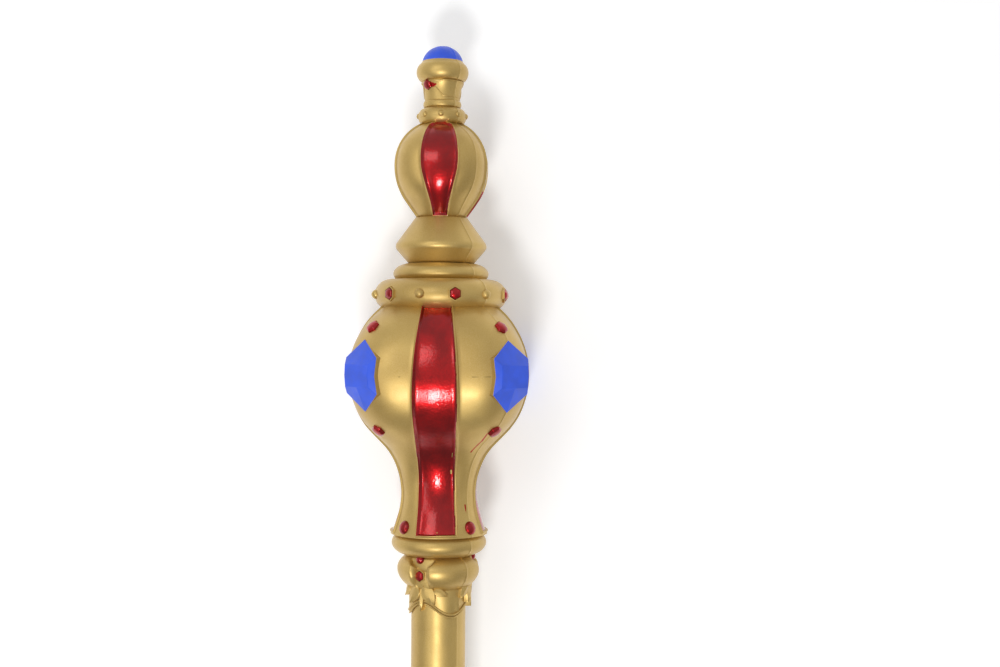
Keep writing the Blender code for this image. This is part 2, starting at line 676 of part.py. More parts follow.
def resting_pose():
    """The lean of the staff's axis, and its tip's place, with both flat spots on the floor."""
    head_rest = BLUE_PLACE
    foot_rest = SCEPTRE_LENGTH - FOOT_RING_BEAD.middle
    lean = math.atan2(HEAD_REST_REACH - FOOT_REST_REACH, foot_rest - head_rest)
    tip_height = head_rest * math.sin(lean) + HEAD_REST_REACH * math.cos(lean)
    head_end = DOME_RADIUS - DOME_RADIUS * math.cos(lean)
    foot_end = (SCEPTRE_LENGTH - BALL_RADIUS) * math.cos(lean) + BALL_RADIUS
    tip_forward = (foot_end - head_end) / 2
    return lean, Vector((tip_forward, 0.0, tip_height))


def floor_slab():
    """The space under the floor, which cuts the flat spots."""
    bpy.ops.mesh.primitive_cube_add(size=1.0, location=(0.0, 0.0, -SLAB_SIZE[2] / 2))
    slab = bpy.context.object
    slab.name = "floor_slab"
    slab.scale = SLAB_SIZE
    return slab


def main():
    for piece in list(bpy.data.objects):
        bpy.data.objects.remove(piece)

    lean, tip = resting_pose()
    axis = bpy.data.objects.new("staff_axis", None)
    bpy.context.collection.objects.link(axis)
    axis.location = tip
    axis.rotation_euler = (0.0, -lean, 0.0)

    rings, socket_floor = head_rings()
    head = turned_solid("head_section", rings, 0.0, socket_floor)
    head.data.materials.append(plastic("gold_paint", GOLD, GOLD_ROUGHNESS, GOLD_METALLIC))

    rings, socket_floor = foot_rings()
    foot = turned_solid("foot_section", rings, SCEPTRE_LENGTH, socket_floor)
    foot.data.materials.append(plastic("gold_paint_foot", GOLD, GOLD_ROUGHNESS, GOLD_METALLIC))

    shaft_start = HEAD_GRIP_END + COUPLING_LENGTH - SOCKET_DEPTH + FIT_GAP
    shaft_end = (SCEPTRE_LENGTH - FOOT_GRIP_END - COUPLING_LENGTH + SOCKET_DEPTH) - FIT_GAP
    shaft_profile = [(shaft_start, TUBE_RADIUS), (shaft_end, TUBE_RADIUS)]
    shaft = turned_solid("red_shaft", round_rings(shaft_profile, TUBE_COLUMNS), shaft_start,
                         shaft_end)
    shaft.data.materials.append(plastic("red_paint", RED, RED_ROUGHNESS, RED_METALLIC))

    slab = floor_slab()
    for piece, ornaments in ((head, [head_ornaments(), knop_stones(), *knop_leaves()]),
                             (foot, [foot_ornaments()])):
        piece.parent = axis
        for ornament in ornaments:
            ornament.parent = axis
            combine(piece, ornament, "UNION")
        combine(piece, slab, "DIFFERENCE")
    shaft.parent = axis


main()
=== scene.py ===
"""The looks of a costume sceptre of hollow moulded plastic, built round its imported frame.

Metres, +Z up, in the frame's own place: the sceptre lies on the floor with its head along +X. A
place along the staff is a distance from its tip. Round the staff, azimuth 0 is the side that faces
up, and azimuths grow towards -Y.
"""

import math
from collections import namedtuple

import bpy
import numpy as np
from bpy.props import FloatProperty, FloatVectorProperty, PointerProperty
from mathutils import Matrix, Vector, noise


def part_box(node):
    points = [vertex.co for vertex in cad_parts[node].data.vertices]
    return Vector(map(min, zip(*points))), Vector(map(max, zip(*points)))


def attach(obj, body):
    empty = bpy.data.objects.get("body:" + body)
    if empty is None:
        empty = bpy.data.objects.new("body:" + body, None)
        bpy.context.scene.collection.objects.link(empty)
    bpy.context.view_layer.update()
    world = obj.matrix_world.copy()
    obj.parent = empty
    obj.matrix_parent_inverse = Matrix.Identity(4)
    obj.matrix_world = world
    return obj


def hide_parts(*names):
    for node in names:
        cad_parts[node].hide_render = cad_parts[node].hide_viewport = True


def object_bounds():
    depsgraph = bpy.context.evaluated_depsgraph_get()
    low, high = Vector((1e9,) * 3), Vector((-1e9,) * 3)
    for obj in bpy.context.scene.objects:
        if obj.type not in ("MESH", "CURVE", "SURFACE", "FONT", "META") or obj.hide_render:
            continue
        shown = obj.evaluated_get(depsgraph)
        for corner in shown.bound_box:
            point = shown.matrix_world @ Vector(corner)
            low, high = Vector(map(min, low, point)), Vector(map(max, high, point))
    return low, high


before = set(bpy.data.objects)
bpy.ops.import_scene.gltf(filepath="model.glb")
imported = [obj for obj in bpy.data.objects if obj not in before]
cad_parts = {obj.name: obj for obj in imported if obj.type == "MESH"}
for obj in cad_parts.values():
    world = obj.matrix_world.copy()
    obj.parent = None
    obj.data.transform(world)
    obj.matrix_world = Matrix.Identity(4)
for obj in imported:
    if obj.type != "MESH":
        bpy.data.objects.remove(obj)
BOX_LOW, BOX_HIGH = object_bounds()

bl_info = {
    "name": "Costume Sceptre",
    "version": (1, 0, 0),
    "blender": (4, 5, 0),
    "location": "View3D > Sidebar > Sceptre",
    "description": "Builds a costume sceptre's painted surfaces round its solid frame",
    "category": "Object",
}

TURN = 2 * math.pi

# ---- Sizes of the moulding ----------------------------------------------------------------------

SCEPTRE_LENGTH = 1.200
TUBE_RADIUS = 0.0135
SOCKET_DEPTH = 0.012
SOCKET_LIP = 0.0008
SOCKET_GAP = 0.0003
COUPLING_LENGTH = 0.024
COUPLING_RADIUS = 0.0214
COUPLING_EDGE = 0.51
COUPLING_ROUNDING = 0.0036
HEAD_GRIP_END = 0.380
FOOT_GRIP_END = 0.165

# A bead is a ring of elliptical section: where its middle is, its half length along the staff,
# the radius that it stands on and how far it bulges from that.
Bead = namedtuple("Bead", "middle half_length core bulge")
# A cone ring is two conical flanks that meet at a rounded edge.
ConeRing = namedtuple("ConeRing", "start start_radius edge edge_radius end end_radius rounding")

DOME_RADIUS = 0.0103
DOME_DIP = 0.0008
RIM_BEAD = Bead(0.0141, 0.0048, 0.0092, 0.0038)
CUP_START = 0.0190
CUP_END = 0.0275
CUP_RIM_RADIUS = 0.0106
CUP_NECK_RADIUS = 0.0089
CUP_BEAD = Bead(0.0302, 0.0017, 0.0087, 0.0008)
STUD_BEAD = Bead(0.0363, 0.0040, 0.0090, 0.0030)

SMALL_BULB_MIDDLE = 0.0611
SMALL_BULB_RADIUS = 0.0234
SMALL_BULB_UPPER_LENGTH = 0.0229
SMALL_BULB_LOWER_LENGTH = 0.0262
SMALL_BULB_START = 0.0392
SMALL_BULB_TAPER_START = 0.0775
SMALL_BULB_TAPER_SLOPE = -0.72
SMALL_BULB_END = 0.0862
HEAD_CONES = ConeRing(0.0868, 0.0131, 0.1011, 0.0235, 0.1092, 0.0165, 0.0030)
DISK_BEAD = Bead(0.1146, 0.0052, 0.0150, 0.0088)
GEM_BEAD = Bead(0.1252, 0.0078, 0.0245, 0.0085)

BULB_MIDDLE = 0.1644
BULB_RADIUS = 0.0456
BULB_HALF_LENGTH = 0.0430
BULB_START = 0.1312
BULB_WAIST_JOIN = 0.1953
WAIST_MIDDLE = 0.2224
WAIST_RADIUS = 0.0190
WAIST_UPPER_CURVE = 0.0362
WAIST_LOWER_CURVE = 0.0405
FLARE_START = 0.2360
FLARE_END = 0.2437
BASE_BEAD = Bead(0.2482, 0.0060, 0.0150, 0.0086)

# Each bulb swells between its panels into four lobes: how far its radius falls at a panel and
# rises beside it, and how strongly that is felt (0 to 1) at places down the staff.
LOBE_VALLEY = 0.045
LOBE_SWELL = 0.19
LOBE_POWER = 2.4
SMALL_BULB_LOBES = (
    (0.0392, 0.0), (0.0470, 0.5), (0.0600, 0.5), (0.0700, 0.4), (0.0790, 0.0), (0.0862, 0.0),
)
MAIN_BULB_LOBES = (
    (0.1312, 0.45), (0.1400, 0.85), (0.1500, 1.0), (0.1640, 1.0), (0.1860, 0.85), (0.2000, 0.5),
    (0.2230, 0.4), (0.2437, 0.0),
)

KNOP_START = 0.2530
KNOP_MIDDLE = 0.2610
KNOP_END = 0.2706
KNOP_RADIUS = 0.0207
KNOP_UPPER_LENGTH = 0.0105
KNOP_LOWER_LENGTH = 0.0132
KNOP_CORE = 0.0165
COLLAR_RADIUS = 0.0147
FESTOON_HIGH = 0.2765
FESTOON_LOW = 0.2833

BALL_RADIUS = 0.0194
FOOT_RING_BEAD = Bead(0.0243, 0.0093, 0.0188, 0.0068)
FOOT_CUP_START = 0.0330
FOOT_CUP_END = 0.0505
FOOT_CUP_RIM_RADIUS = 0.0206
FOOT_CUP_NECK_RADIUS = 0.0157
FOOT_BEAD = Bead(0.0572, 0.0061, 0.0150, 0.0052)
# From the staff's axis down to the floor, at the blue stones and at the foot's ring.
HEAD_REST_REACH = 0.0445
FOOT_REST_REACH = 0.0252

# ---- Panels, stones and cords -------------------------------------------------------------------

PANEL_AZIMUTHS = tuple(math.radians(angle) for angle in (0, 90, 180, 270))
LOBE_AZIMUTHS = tuple(math.radians(angle) for angle in (45, 135, 225, 315))
SEAM_AZIMUTHS = (LOBE_AZIMUTHS[0], LOBE_AZIMUTHS[2])
# Half the width of each bulb's panels, at places down the staff.
SMALL_PANEL_WIDTHS = (
    (0.0392, 0.0040), (0.0450, 0.0066), (0.0550, 0.0086), (0.0630, 0.0086),
    (0.0720, 0.0066), (0.0800, 0.0044), (0.0862, 0.0034),
)
MAIN_PANEL_WIDTHS = (
    (0.1312, 0.0072), (0.1520, 0.0098), (0.1740, 0.0109), (0.1970, 0.0097),
    (0.2120, 0.0085), (0.2230, 0.0085), (0.2437, 0.0097),
)

Stone = namedtuple("Stone", "half_length half_width height")
RING_STUD = Stone(0.0015, 0.0015, 0.0009)
RING_RED_STONE = Stone(0.0037, 0.0031, 0.0017)
RING_GOLD_STUD = Stone(0.0024, 0.0024, 0.0020)
SMALL_STONE = Stone(0.0038, 0.0030, 0.0017)
FLARE_STONE = Stone(0.0034, 0.0031, 0.0019)
KNOP_STONE = Stone(0.0033, 0.0026, 0.0014)
KNOP_BEAD_STONE = Stone(0.0022, 0.0022, 0.0018)
CUP_STONE = Stone(0.0026, 0.0024, 0.0012)
FOOT_RED_STONE = Stone(0.0027, 0.0024, 0.0014)
FOOT_GOLD_STONE = Stone(0.0033, 0.0029, 0.0012)
STONE_SINK = 0.0016
# Stones rise in levels: the scale of the outline, and the share of the height that it lies at.
CUT_STONE_LEVELS = ((1.0, 0.30), (0.78, 0.78), (0.42, 1.0))
BEZEL_LEVELS = ((1.0, 0.62), (0.88, 0.62), (0.80, 0.25))
SET_STONE_LEVELS = ((0.74, 0.70), (0.44, 1.0))
BEZEL_SPREAD = 1.04
STUD_SPREAD = 1.06
STUD_DOME_ANGLES = (0.12, 0.96 * math.pi / 2)
STONE_SIDES = 6
STUD_SIDES = 20
STUD_STEPS = 5
STUD_RING_DROP = 0.0004
STONES_ROUND_A_RING = 12
STUDS_ROUND_THE_NECK = 8

BLUE_PLACE = 0.1646
BLUE_HALF_LENGTH = 0.0173
BLUE_CORNER = 0.0086
BLUE_HALF_WIDTH = 0.0114
BLUE_WAIST = 0.0110
BLUE_SINK = 0.0045
BLUE_SETTLE = 0.0014
BLUE_WALL = 0.0005
BLUE_TABLE_LENGTH = 0.0054
BLUE_TABLE_WIDTH = 0.0087
BLUE_TABLE_HEIGHT = 0.0015
BLUE_EDGE_ROUNDING = 0.00022
SMALL_STONE_ROUNDING = 0.00018
SMALL_STONE_PLACES = (0.1414, 0.1911)
FLARE_STONE_PLACE = 0.2392
CUP_STONE_PLACE = 0.0212
CUP_STONE_AZIMUTHS = tuple(math.radians(angle) for angle in (-45, 135))
FOOT_CUP_STONE_PLACE = 0.0395
FOOT_CUP_STONE_AZIMUTHS = tuple(math.radians(angle) for angle in (-67, 113))
# The field that cords frame on a cup: its ends down the staff, and its gap to the stones.
Field = namedtuple("Field", "top bottom gap")
CUP_FIELD = Field(CUP_START + 0.0003, CUP_END - 0.0006, 0.0034)
FOOT_CUP_FIELD = Field(SCEPTRE_LENGTH - FOOT_CUP_END + 0.0016,
                       SCEPTRE_LENGTH - FOOT_CUP_START - 0.0012, 0.0044)

KNOP_ORNAMENT_AZIMUTHS = tuple(math.radians(angle) for angle in (-30, 90, 210))
KNOP_STONE_PLACE = 0.2632
KNOP_BEAD_STONE_PLACE = 0.2552
Leaf = namedtuple("Leaf", "place sideways half_length half_width turn rise")
KNOP_LEAVES = (
    Leaf(0.2743, 0.0000, 0.0060, 0.0015, 0.0, 0.0016),
    Leaf(0.2725, 0.0040, 0.0055, 0.0034, math.radians(30), 0.0021),
    Leaf(0.2725, -0.0040, 0.0055, 0.0034, math.radians(-30), 0.0021),
    Leaf(0.2712, 0.0092, 0.0040, 0.0020, math.radians(66), 0.0019),
    Leaf(0.2712, -0.0092, 0.0040, 0.0026, math.radians(-40), 0.0022),
)
# Half the width of the hollow between two cushions, at places down the staff.
KNOP_GAPS = (
    (0.2530, 0.0098), (0.2552, 0.0076), (0.2580, 0.0036), (0.2640, 0.0033), (0.2670, 0.0042),
    (0.2695, 0.0054), (0.2730, 0.0066),
)
KNOP_CUSHION_ROUNDING = 0.0026
KNOP_GAP_TURN = math.radians(4)
KNOP_ROWS = 60
KNOP_COLUMNS = 360
# A leaf narrows to both ends, and its section is (share of the half width, share of the rise).
LEAF_ROWS = 17
LEAF_FULLNESS = 0.8
LEAF_TAPER = 0.35
LEAF_SECTION = (
    (-1.0, 0.55), (-0.92, 0.70), (-0.5, 0.80), (0.0, 1.0), (0.5, 0.80), (0.92, 0.70), (1.0, 0.55),
)

CORD_RADIUS = 0.00032
CORD_SIDES = 8
# The cup's cords frame a six-sided field, whose corners lie at this share of its half width.
FIELD_CORNER = 0.55
FIELD_SIDE_STEPS = 10
# The collar ends in a step along the festoon: distances below its line, and radii there.
COLLAR_STEPS = (
    (-0.0006, COLLAR_RADIUS), (-0.0002, COLLAR_RADIUS - 0.0002), (0.0, TUBE_RADIUS + 0.0004),
    (0.0003, TUBE_RADIUS), (0.0008, TUBE_RADIUS - 0.001),
)
# The festoon's two cords: how far each lies below its line, and how far out of the collar.
FESTOON_CORDS = ((-0.0010, 0.0001), (0.0005, -0.0004))
FESTOON_CORD_RADIUS = 0.00045
FESTOON_STEPS = 240

# ---- How the skins are laid out in rows and columns ---------------------------------------------

# How much of its half length a bead shows, where it meets its neighbours at the core.
BEAD_REACH = 0.98
SKIN_SPACING = 0.0012
TIP_SPACING = 0.0007
COLLAR_SPACING = 0.0007
TUBE_SPACING = 0.0009
SHAFT_SPACING = 0.0010
SMALL_BULB_ROWS, SMALL_BULB_SPACING = 0.0009, 0.0011
MAIN_BULB_ROWS, MAIN_BULB_SPACING = 0.0011, 0.0016
# How far skins run under their neighbours, or short of a socket's floor.
SKIN_OVERLAP = 0.0006
FOOT_CUP_OVERLAP = 0.0010
KNOP_OVERLAP = 0.0010
SHAFT_END_GAP = 0.0005
# The gold tube starts out of sight, inside the collar.
TUBE_START = KNOP_END + 0.0020
# Columns of a panel's edge: shares of the lip's width outside its crest, and of the wall's inside.
LIP_COLUMNS = np.array([1.0, 0.8, 0.6, 0.4, 0.2, 0.0])
WALL_COLUMNS = np.array([0.15, 0.35, 0.5, 0.65, 0.85, 1.0])
PANEL_COLUMNS = 13
WIDEST_PANEL = 0.95
SEAM_COLUMNS = np.array([-2.2, -1.4, -0.9, -0.5, 0.0, 0.5, 0.9, 1.4, 2.2])
SEAM_FADE = 0.006
FINE_REACH = 0.0014
FINE_SPACING = 0.00018
EASING_REACH = 0.0040
EASING_SAMPLES = 9
ROUND_OFF = 1e-9
# A dome's first row lies this share of a step from its pole.
POLE_SHARE = 0.25
# Columns never crowd closer than where the radius is this share of the widest.
THINNEST_SHARE = 0.35
# The arches of the small bulb's panels: where their fine rows, their tops and their ends lie.
SMALL_ARCH_ROWS = (0.0008, 0.0034)
SMALL_ARCH_DROP = 0.0003
SMALL_ARCH_LENGTH = 0.0024
# How far the main bulb's skin and its panels run up under the gem ring.
MAIN_BULB_TUCK = 0.0020
MAIN_PANEL_TUCK = 0.0016
MAIN_PANEL_FOOT = 0.0012
MAIN_FINE_ROWS = (BULB_START + 0.0004, FLARE_END - 0.0006)
# Where the red stops: shares of the wall's width short of a panel's crest, or of the lip's past.
SIDE_PAINT_SHORT = 0.6
SMALL_PAINT_SHORT = 0.1
SMALL_SIDE_PAINT_FULL = 0.0720
RIGHT_PAINT_SHORT = 0.35
LEFT_PAINT_OVER = 0.15
PAINT_WOBBLE = 0.0001
PAINT_WOBBLE_SCALE = 160
PAINT_WOBBLE_RIGHT, PAINT_WOBBLE_LEFT = 3.0, 7.0
# The blown skin's unevenness: (waves round the staff, along it, phase, strength).
WAVES = ((3, 260, 0.0, 1.0), (5, -410, 1.3, 1.0), (8, 530, 0.6, 0.7), (13, 0, 2.1, 0.5))
BEVEL_SEGMENTS = 2
BEVEL_FROM = math.radians(22)

# ---- Marks of the brush, and lines of painted shade ---------------------------------------------

# Each mark runs from one (azimuth in degrees, place, radius) to another.
Mark = namedtuple("Mark", "start end width")
RED_ON_GOLD = (
    Mark((39.9, 0.1915, 0.0396), (40.8, 0.1959, 0.0333), 0.0005),
    Mark((40.8, 0.1959, 0.0333), (37.0, 0.2016, 0.0273), 0.0004),
    Mark((43.0, 0.2350, 0.0222), (41.4, 0.2281, 0.0203), 0.0004),
    Mark((-36.0, 0.0212, 0.0100), (-26.0, 0.0216, 0.0100), 0.0012),
    Mark((-26.0, 0.0216, 0.0100), (-17.0, 0.0214, 0.0100), 0.0005),
)
GOLD_ON_RED = (
    Mark((17.6, 0.2020, 0.0247), (18.2, 0.2046, 0.0229), 0.0003),
    Mark((19.0, 0.2108, 0.0206), (19.4, 0.2122, 0.0202), 0.0004),
    Mark((18.6, 0.2205, 0.0184), (19.4, 0.2213, 0.0184), 0.0003),
    Mark((-6.9, 0.1660, 0.0430), (-6.6, 0.1664, 0.0430), 0.0004),
    Mark((0.7, 0.2408, 0.0223), (0.9, 0.2411, 0.0223), 0.0003),
)
# Thin dark lines across the main bulb's gold fields near its middle: painted shade for fine ripples
# in the blown skin, not marks of the brush.
RIPPLE_SHADE_LINES = (
    Mark((-33.5, 0.1650, 0.0506), (-20.6, 0.1648, 0.0466), 0.00016),
    Mark((21.7, 0.1646, 0.0470), (31.5, 0.1645, 0.0501), 0.00016),
)
# How much of its width a mark's edge wanders, and how far out it fades, in widths.
MARK_RAGGEDNESS = 0.5
MARK_EDGE = 1.5
# How dark the painted shade of a ripple line is and how light the blue is where it is thin, as
# multiples of their paint.
RIPPLE_SHADE_DARKNESS = 0.45
BLUE_LIGHT = 1.18
GOLD_GLINT = (1.0, 0.86, 0.50)


# ---- What a user may change ---------------------------------------------------------------------

class SceptrePaint(bpy.types.PropertyGroup):
    """The sceptre's paints."""
    gold: FloatVectorProperty(
        name="Gold", description="Colour of the satin gold paint", subtype="COLOR",
        min=0.0, max=1.0, default=(0.60, 0.41, 0.125))
    gold_shade: FloatVectorProperty(
        name="Gold, thin coat", description="Colour where the gold coat is thinner", subtype="COLOR",
        min=0.0, max=1.0, default=(0.52, 0.345, 0.10))
    gold_roughness: FloatProperty(
        name="Gold roughness", description="How matt the gold paint is", subtype="FACTOR",
        min=0.05, max=1.0, default=0.47)
    red: FloatVectorProperty(
        name="Red", description="Colour of the red enamel", subtype="COLOR",
        min=0.0, max=1.0, default=(0.44, 0.004, 0.006))
    red_shade: FloatVectorProperty(
        name="Red, thick coat", description="Colour where the red coat is thicker", subtype="COLOR",
        min=0.0, max=1.0, default=(0.27, 0.003, 0.004))
    red_roughness: FloatProperty(
        name="Red roughness", description="How soft the glow under the red enamel's gloss is",
        subtype="FACTOR", min=0.05, max=1.0, default=0.34)
    blue: FloatVectorProperty(
        name="Blue", description="Colour of the blue paint", subtype="COLOR",
        min=0.0, max=1.0, default=(0.020, 0.085, 0.68))
    blue_roughness: FloatProperty(
        name="Blue roughness", description="How matt the blue paint is", subtype="FACTOR",
        min=0.05, max=1.0, default=0.42)
    peel: FloatProperty(
        name="Orange peel", description="Height of the red enamel's uneven skin", unit="LENGTH",
        min=0.0, max=0.001, default=0.00009)


class SceptreMoulding(bpy.types.PropertyGroup):
    """The finer relief of the moulded skin."""
    lip_height: FloatProperty(
        name="Lip height", description="How far a panel's lip stands out", unit="LENGTH",
        min=0.0, max=0.002, default=0.0009)
    lip_width: FloatProperty(
        name="Lip width", description="Width of the lip's outer side", unit="LENGTH",
        min=0.0001, max=0.003, default=0.0009)
    panel_depth: FloatProperty(
        name="Panel depth", description="How far a panel lies below the skin", unit="LENGTH",
        min=0.0, max=0.003, default=0.0007)
    panel_bulge: FloatProperty(
        name="Panel bulge", description="How far a panel's middle stands over its sides",
        unit="LENGTH", min=0.0, max=0.003, default=0.0006)
    panel_wall: FloatProperty(
        name="Panel wall", description="Width of the slope inside the lip", unit="LENGTH",
        min=0.0001, max=0.003, default=0.0012)
    seam_height: FloatProperty(
        name="Seam height", description="How far the mould's parting seam stands out",
        unit="LENGTH", min=0.0, max=0.001, default=0.00026)
    seam_width: FloatProperty(
        name="Seam width", description="Half width of the parting seam", unit="LENGTH",
        min=0.0001, max=0.003, default=0.0004)
    waviness: FloatProperty(
        name="Waviness", description="Unevenness of the blown skin", unit="LENGTH",
        min=0.0, max=0.001, default=0.00004)


class SceptreStage(bpy.types.PropertyGroup):
    """The studio round the sceptre."""
    floor: FloatVectorProperty(
        name="Floor", description="Colour of the floor", subtype="COLOR",
        min=0.0, max=1.0, default=(0.95, 0.95, 0.95))
    surround: FloatProperty(
        name="Surround", description="Brightness of the white room on the tip's side", min=0.0,
        max=10.0, default=0.66)
    far_surround: FloatProperty(
        name="Far surround", description="Brightness of the white room on the foot's side",
        min=0.0, max=10.0, default=0.26)
    floor_glow: FloatProperty(
        name="Floor glow", description="How much the floor shines by itself", min=0.0, max=1.0,
        default=0.22)
    light_distance: FloatProperty(
        name="Light distance", description="From the main bulb to each light", unit="LENGTH",
        min=0.2, max=5.0, default=1.3)
    focal_length: FloatProperty(
        name="Focal length", description="Focal length of the camera's lens", unit="CAMERA",
        min=10.0, max=300.0, default=50.0)
    camera_place: FloatProperty(
        name="Camera place", description="Distance of the camera from the tip, along the staff",
        unit="LENGTH", min=-1.0, max=2.0, default=0.1441)
    camera_aside: FloatProperty(
        name="Camera aside", description="How far the camera stands to the side of the staff",
        unit="LENGTH", min=-1.0, max=1.0, default=0.0297)
    camera_distance: FloatProperty(
        name="Camera distance", description="From the staff's axis to the camera", unit="LENGTH",
        min=0.1, max=5.0, default=0.6944)
    camera_turn: FloatProperty(
        name="Camera turn", description="Azimuth round the staff that the camera looks down on",
        unit="ROTATION", default=math.radians(0.8))
    camera_roll: FloatProperty(
        name="Camera roll", description="Turn of the picture against the staff", unit="ROTATION",
        default=0.0077)


# ---- The staff's place in the frame -------------------------------------------------------------

def resting_staff():
    """The lean of the staff's axis, and the place of its tip."""
    foot_rest = SCEPTRE_LENGTH - FOOT_RING_BEAD.middle
    lean = math.atan2(HEAD_REST_REACH - FOOT_REST_REACH, foot_rest - BLUE_PLACE)
    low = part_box("foot_section")[0]
    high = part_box("head_section")[1]
    foot_reach = (SCEPTRE_LENGTH - BALL_RADIUS) * math.cos(lean) + BALL_RADIUS
    head_over = DOME_RADIUS * (1 - math.cos(lean))
    tip_x = (low.x + foot_reach + high.x - head_over) / 2
    tip_z = BLUE_PLACE * math.sin(lean) + HEAD_REST_REACH * math.cos(lean)
    return lean, Vector((tip_x, 0.0, tip_z))


LEAN, TIP = resting_staff()


def staff_points(turns, places, radii):
    """Points on the staff, from their azimuths, places and distances from its axis."""
    turns, places, radii = np.broadcast_arrays(turns, places, radii)
    out = radii * np.cos(turns)
    return np.stack((TIP.x - places * math.cos(LEAN) - out * math.sin(LEAN),
                     -radii * np.sin(turns),
                     TIP.z - places * math.sin(LEAN) + out * math.cos(LEAN)), axis=-1)


# ---- Profiles: lists of (distance from the tip, radius) -----------------------------------------

def bead_profile(bead, steps, start=-BEAD_REACH, end=BEAD_REACH):
    """Points round a bead's elliptical section, between shares of its half length."""
    angles = np.linspace(math.asin(start), math.asin(end), steps + 1)
    return [(bead.middle + bead.half_length * math.sin(angle),
             bead.core + bead.bulge * math.cos(angle)) for angle in angles]


def cone_ring_profile(ring, steps):
    """Two conical flanks, with an arc tangent to both where they meet."""
    up = Vector((ring.edge - ring.start, ring.edge_radius - ring.start_radius)).normalized()
    down = Vector((ring.end - ring.edge, ring.end_radius - ring.edge_radius)).normalized()
    bend = up.angle(down)
    setback = ring.rounding * math.tan(bend / 2)
    edge = Vector((ring.edge, ring.edge_radius))
    centre = edge - up * setback + Vector((up.y, -up.x)) * ring.rounding
    first = math.atan2(up.x, -up.y)
    arc = [(centre.x + ring.rounding * math.cos(first - bend * share),
            centre.y + ring.rounding * math.sin(first - bend * share))
           for share in np.linspace(0.0, 1.0, steps + 1)]
    rise = straight((ring.start, ring.start_radius), arc[0], steps)
    fall = straight(arc[-1], (ring.end, ring.end_radius), steps)
    return rise[:-1] + arc + fall[1:]


def straight(start, end, steps):
    """Points evenly down a straight flank or tube."""
    return [(start[0] + (end[0] - start[0]) * share, start[1] + (end[1] - start[1]) * share)
            for share in np.linspace(0.0, 1.0, steps + 1)]


def dome_profile(radius, last_angle, steps):
    """A ball's cap from close to its pole."""
    return [(radius - radius * math.cos(angle), radius * math.sin(angle))
            for angle in np.linspace(POLE_SHARE * last_angle / steps, last_angle, steps + 1)]


def cup_radius(place, start, end, rim_radius, neck_radius):
    """A cup's hollow curve, steep at its rim and upright at its neck."""
    share = (place - start) / (end - start)
    return neck_radius + (rim_radius - neck_radius) * (1 - share) ** 2


def head_cup_radius(place):
    """The cup under the rim."""
    return cup_radius(place, CUP_START, CUP_END, CUP_RIM_RADIUS, CUP_NECK_RADIUS)


def foot_cup_radius(place):
    """The foot's cup, whose sizes are distances from the foot's own tip."""
    return cup_radius(SCEPTRE_LENGTH - place, FOOT_CUP_START, FOOT_CUP_END, FOOT_CUP_RIM_RADIUS,
                      FOOT_CUP_NECK_RADIUS)


def half_ellipse(offset, half_length, height):
    """The height of half an ellipse at an offset from its middle, and 0 past its ends."""
    return height * np.sqrt(np.clip(1 - (offset / half_length) ** 2, 0.0, None))


def small_bulb_radius(place):
    """A round upper half, a longer lower half, then a straight taper."""
    length = np.where(place < SMALL_BULB_MIDDLE, SMALL_BULB_UPPER_LENGTH, SMALL_BULB_LOWER_LENGTH)
    round_part = np.minimum(place, SMALL_BULB_TAPER_START)
    radius = half_ellipse(round_part - SMALL_BULB_MIDDLE, length, SMALL_BULB_RADIUS)
    return radius + SMALL_BULB_TAPER_SLOPE * (place - round_part)


def main_bulb_radius(place):
    """The large bulb, the hollow curve of its waist and the straight flare below."""
    bulb = half_ellipse(place - BULB_MIDDLE, BULB_HALF_LENGTH, BULB_RADIUS)
    curve = np.where(place < WAIST_MIDDLE, WAIST_UPPER_CURVE, WAIST_LOWER_CURVE)
    curved = np.clip(place, BULB_WAIST_JOIN, FLARE_START) - WAIST_MIDDLE
    depth = np.sqrt(curve ** 2 - curved ** 2)
    flare = np.maximum(0.0, place - FLARE_START) * curved / depth
    return np.where(place < BULB_WAIST_JOIN, bulb, WAIST_RADIUS + curve - depth + flare)


def lobe_swell(turns, lobing):
    """What a bulb's radius is multiplied by: lowest at a panel's middle, highest between two."""
    swell = LOBE_SWELL * np.abs(np.sin(len(PANEL_AZIMUTHS) / 2 * turns)) ** LOBE_POWER
    return 1 + lobing * (swell - LOBE_VALLEY)


def lobe_crest_radius(place):
    """The main bulb along the top of a lobe, where its stones stand."""
    lobing = smooth_through(MAIN_BULB_LOBES, place)
    return main_bulb_radius(place) * lobe_swell(LOBE_AZIMUTHS[0], lobing)


def knop_radius(place):
    """The outer faces of the knop's cushions."""
    length = np.where(place < KNOP_MIDDLE, KNOP_UPPER_LENGTH, KNOP_LOWER_LENGTH)
    return half_ellipse(place - KNOP_MIDDLE, length, KNOP_RADIUS)


def bead_radius(bead, flipped=False):
    """A function that gives a bead's radius at a place, on the head or, flipped, on the foot."""
    def radius(place):
        own = SCEPTRE_LENGTH - place if flipped else place
        return bead.core + half_ellipse(own - bead.middle, bead.half_length, bead.bulge)
    return radius


def smooth_through(stations, places):
    """Values read from a smooth curve through (place, value) stations."""
    stations = np.array(stations)
    slopes = np.gradient(stations[:, 1], stations[:, 0])
    index = np.searchsorted(stations[:, 0], places, side="right") - 1
    index = np.clip(index, 0, len(stations) - 2)
    width = stations[index + 1, 0] - stations[index, 0]
    share = (places - stations[index, 0]) / width
    back = 1 - share
    return ((1 + 2 * share) * back ** 2 * stations[index, 1]
            + share * back ** 2 * width * slopes[index]
            + share ** 2 * (3 - 2 * share) * stations[index + 1, 1]
            - share ** 2 * back * width * slopes[index + 1])


def flipped_to_foot(profile):
    """A profile that is measured from the foot's own tip, in the staff's places."""
    return [(SCEPTRE_LENGTH - place, radius) for place, radius in reversed(profile)]


# ---- Meshes -------------------------------------------------------------------------------------

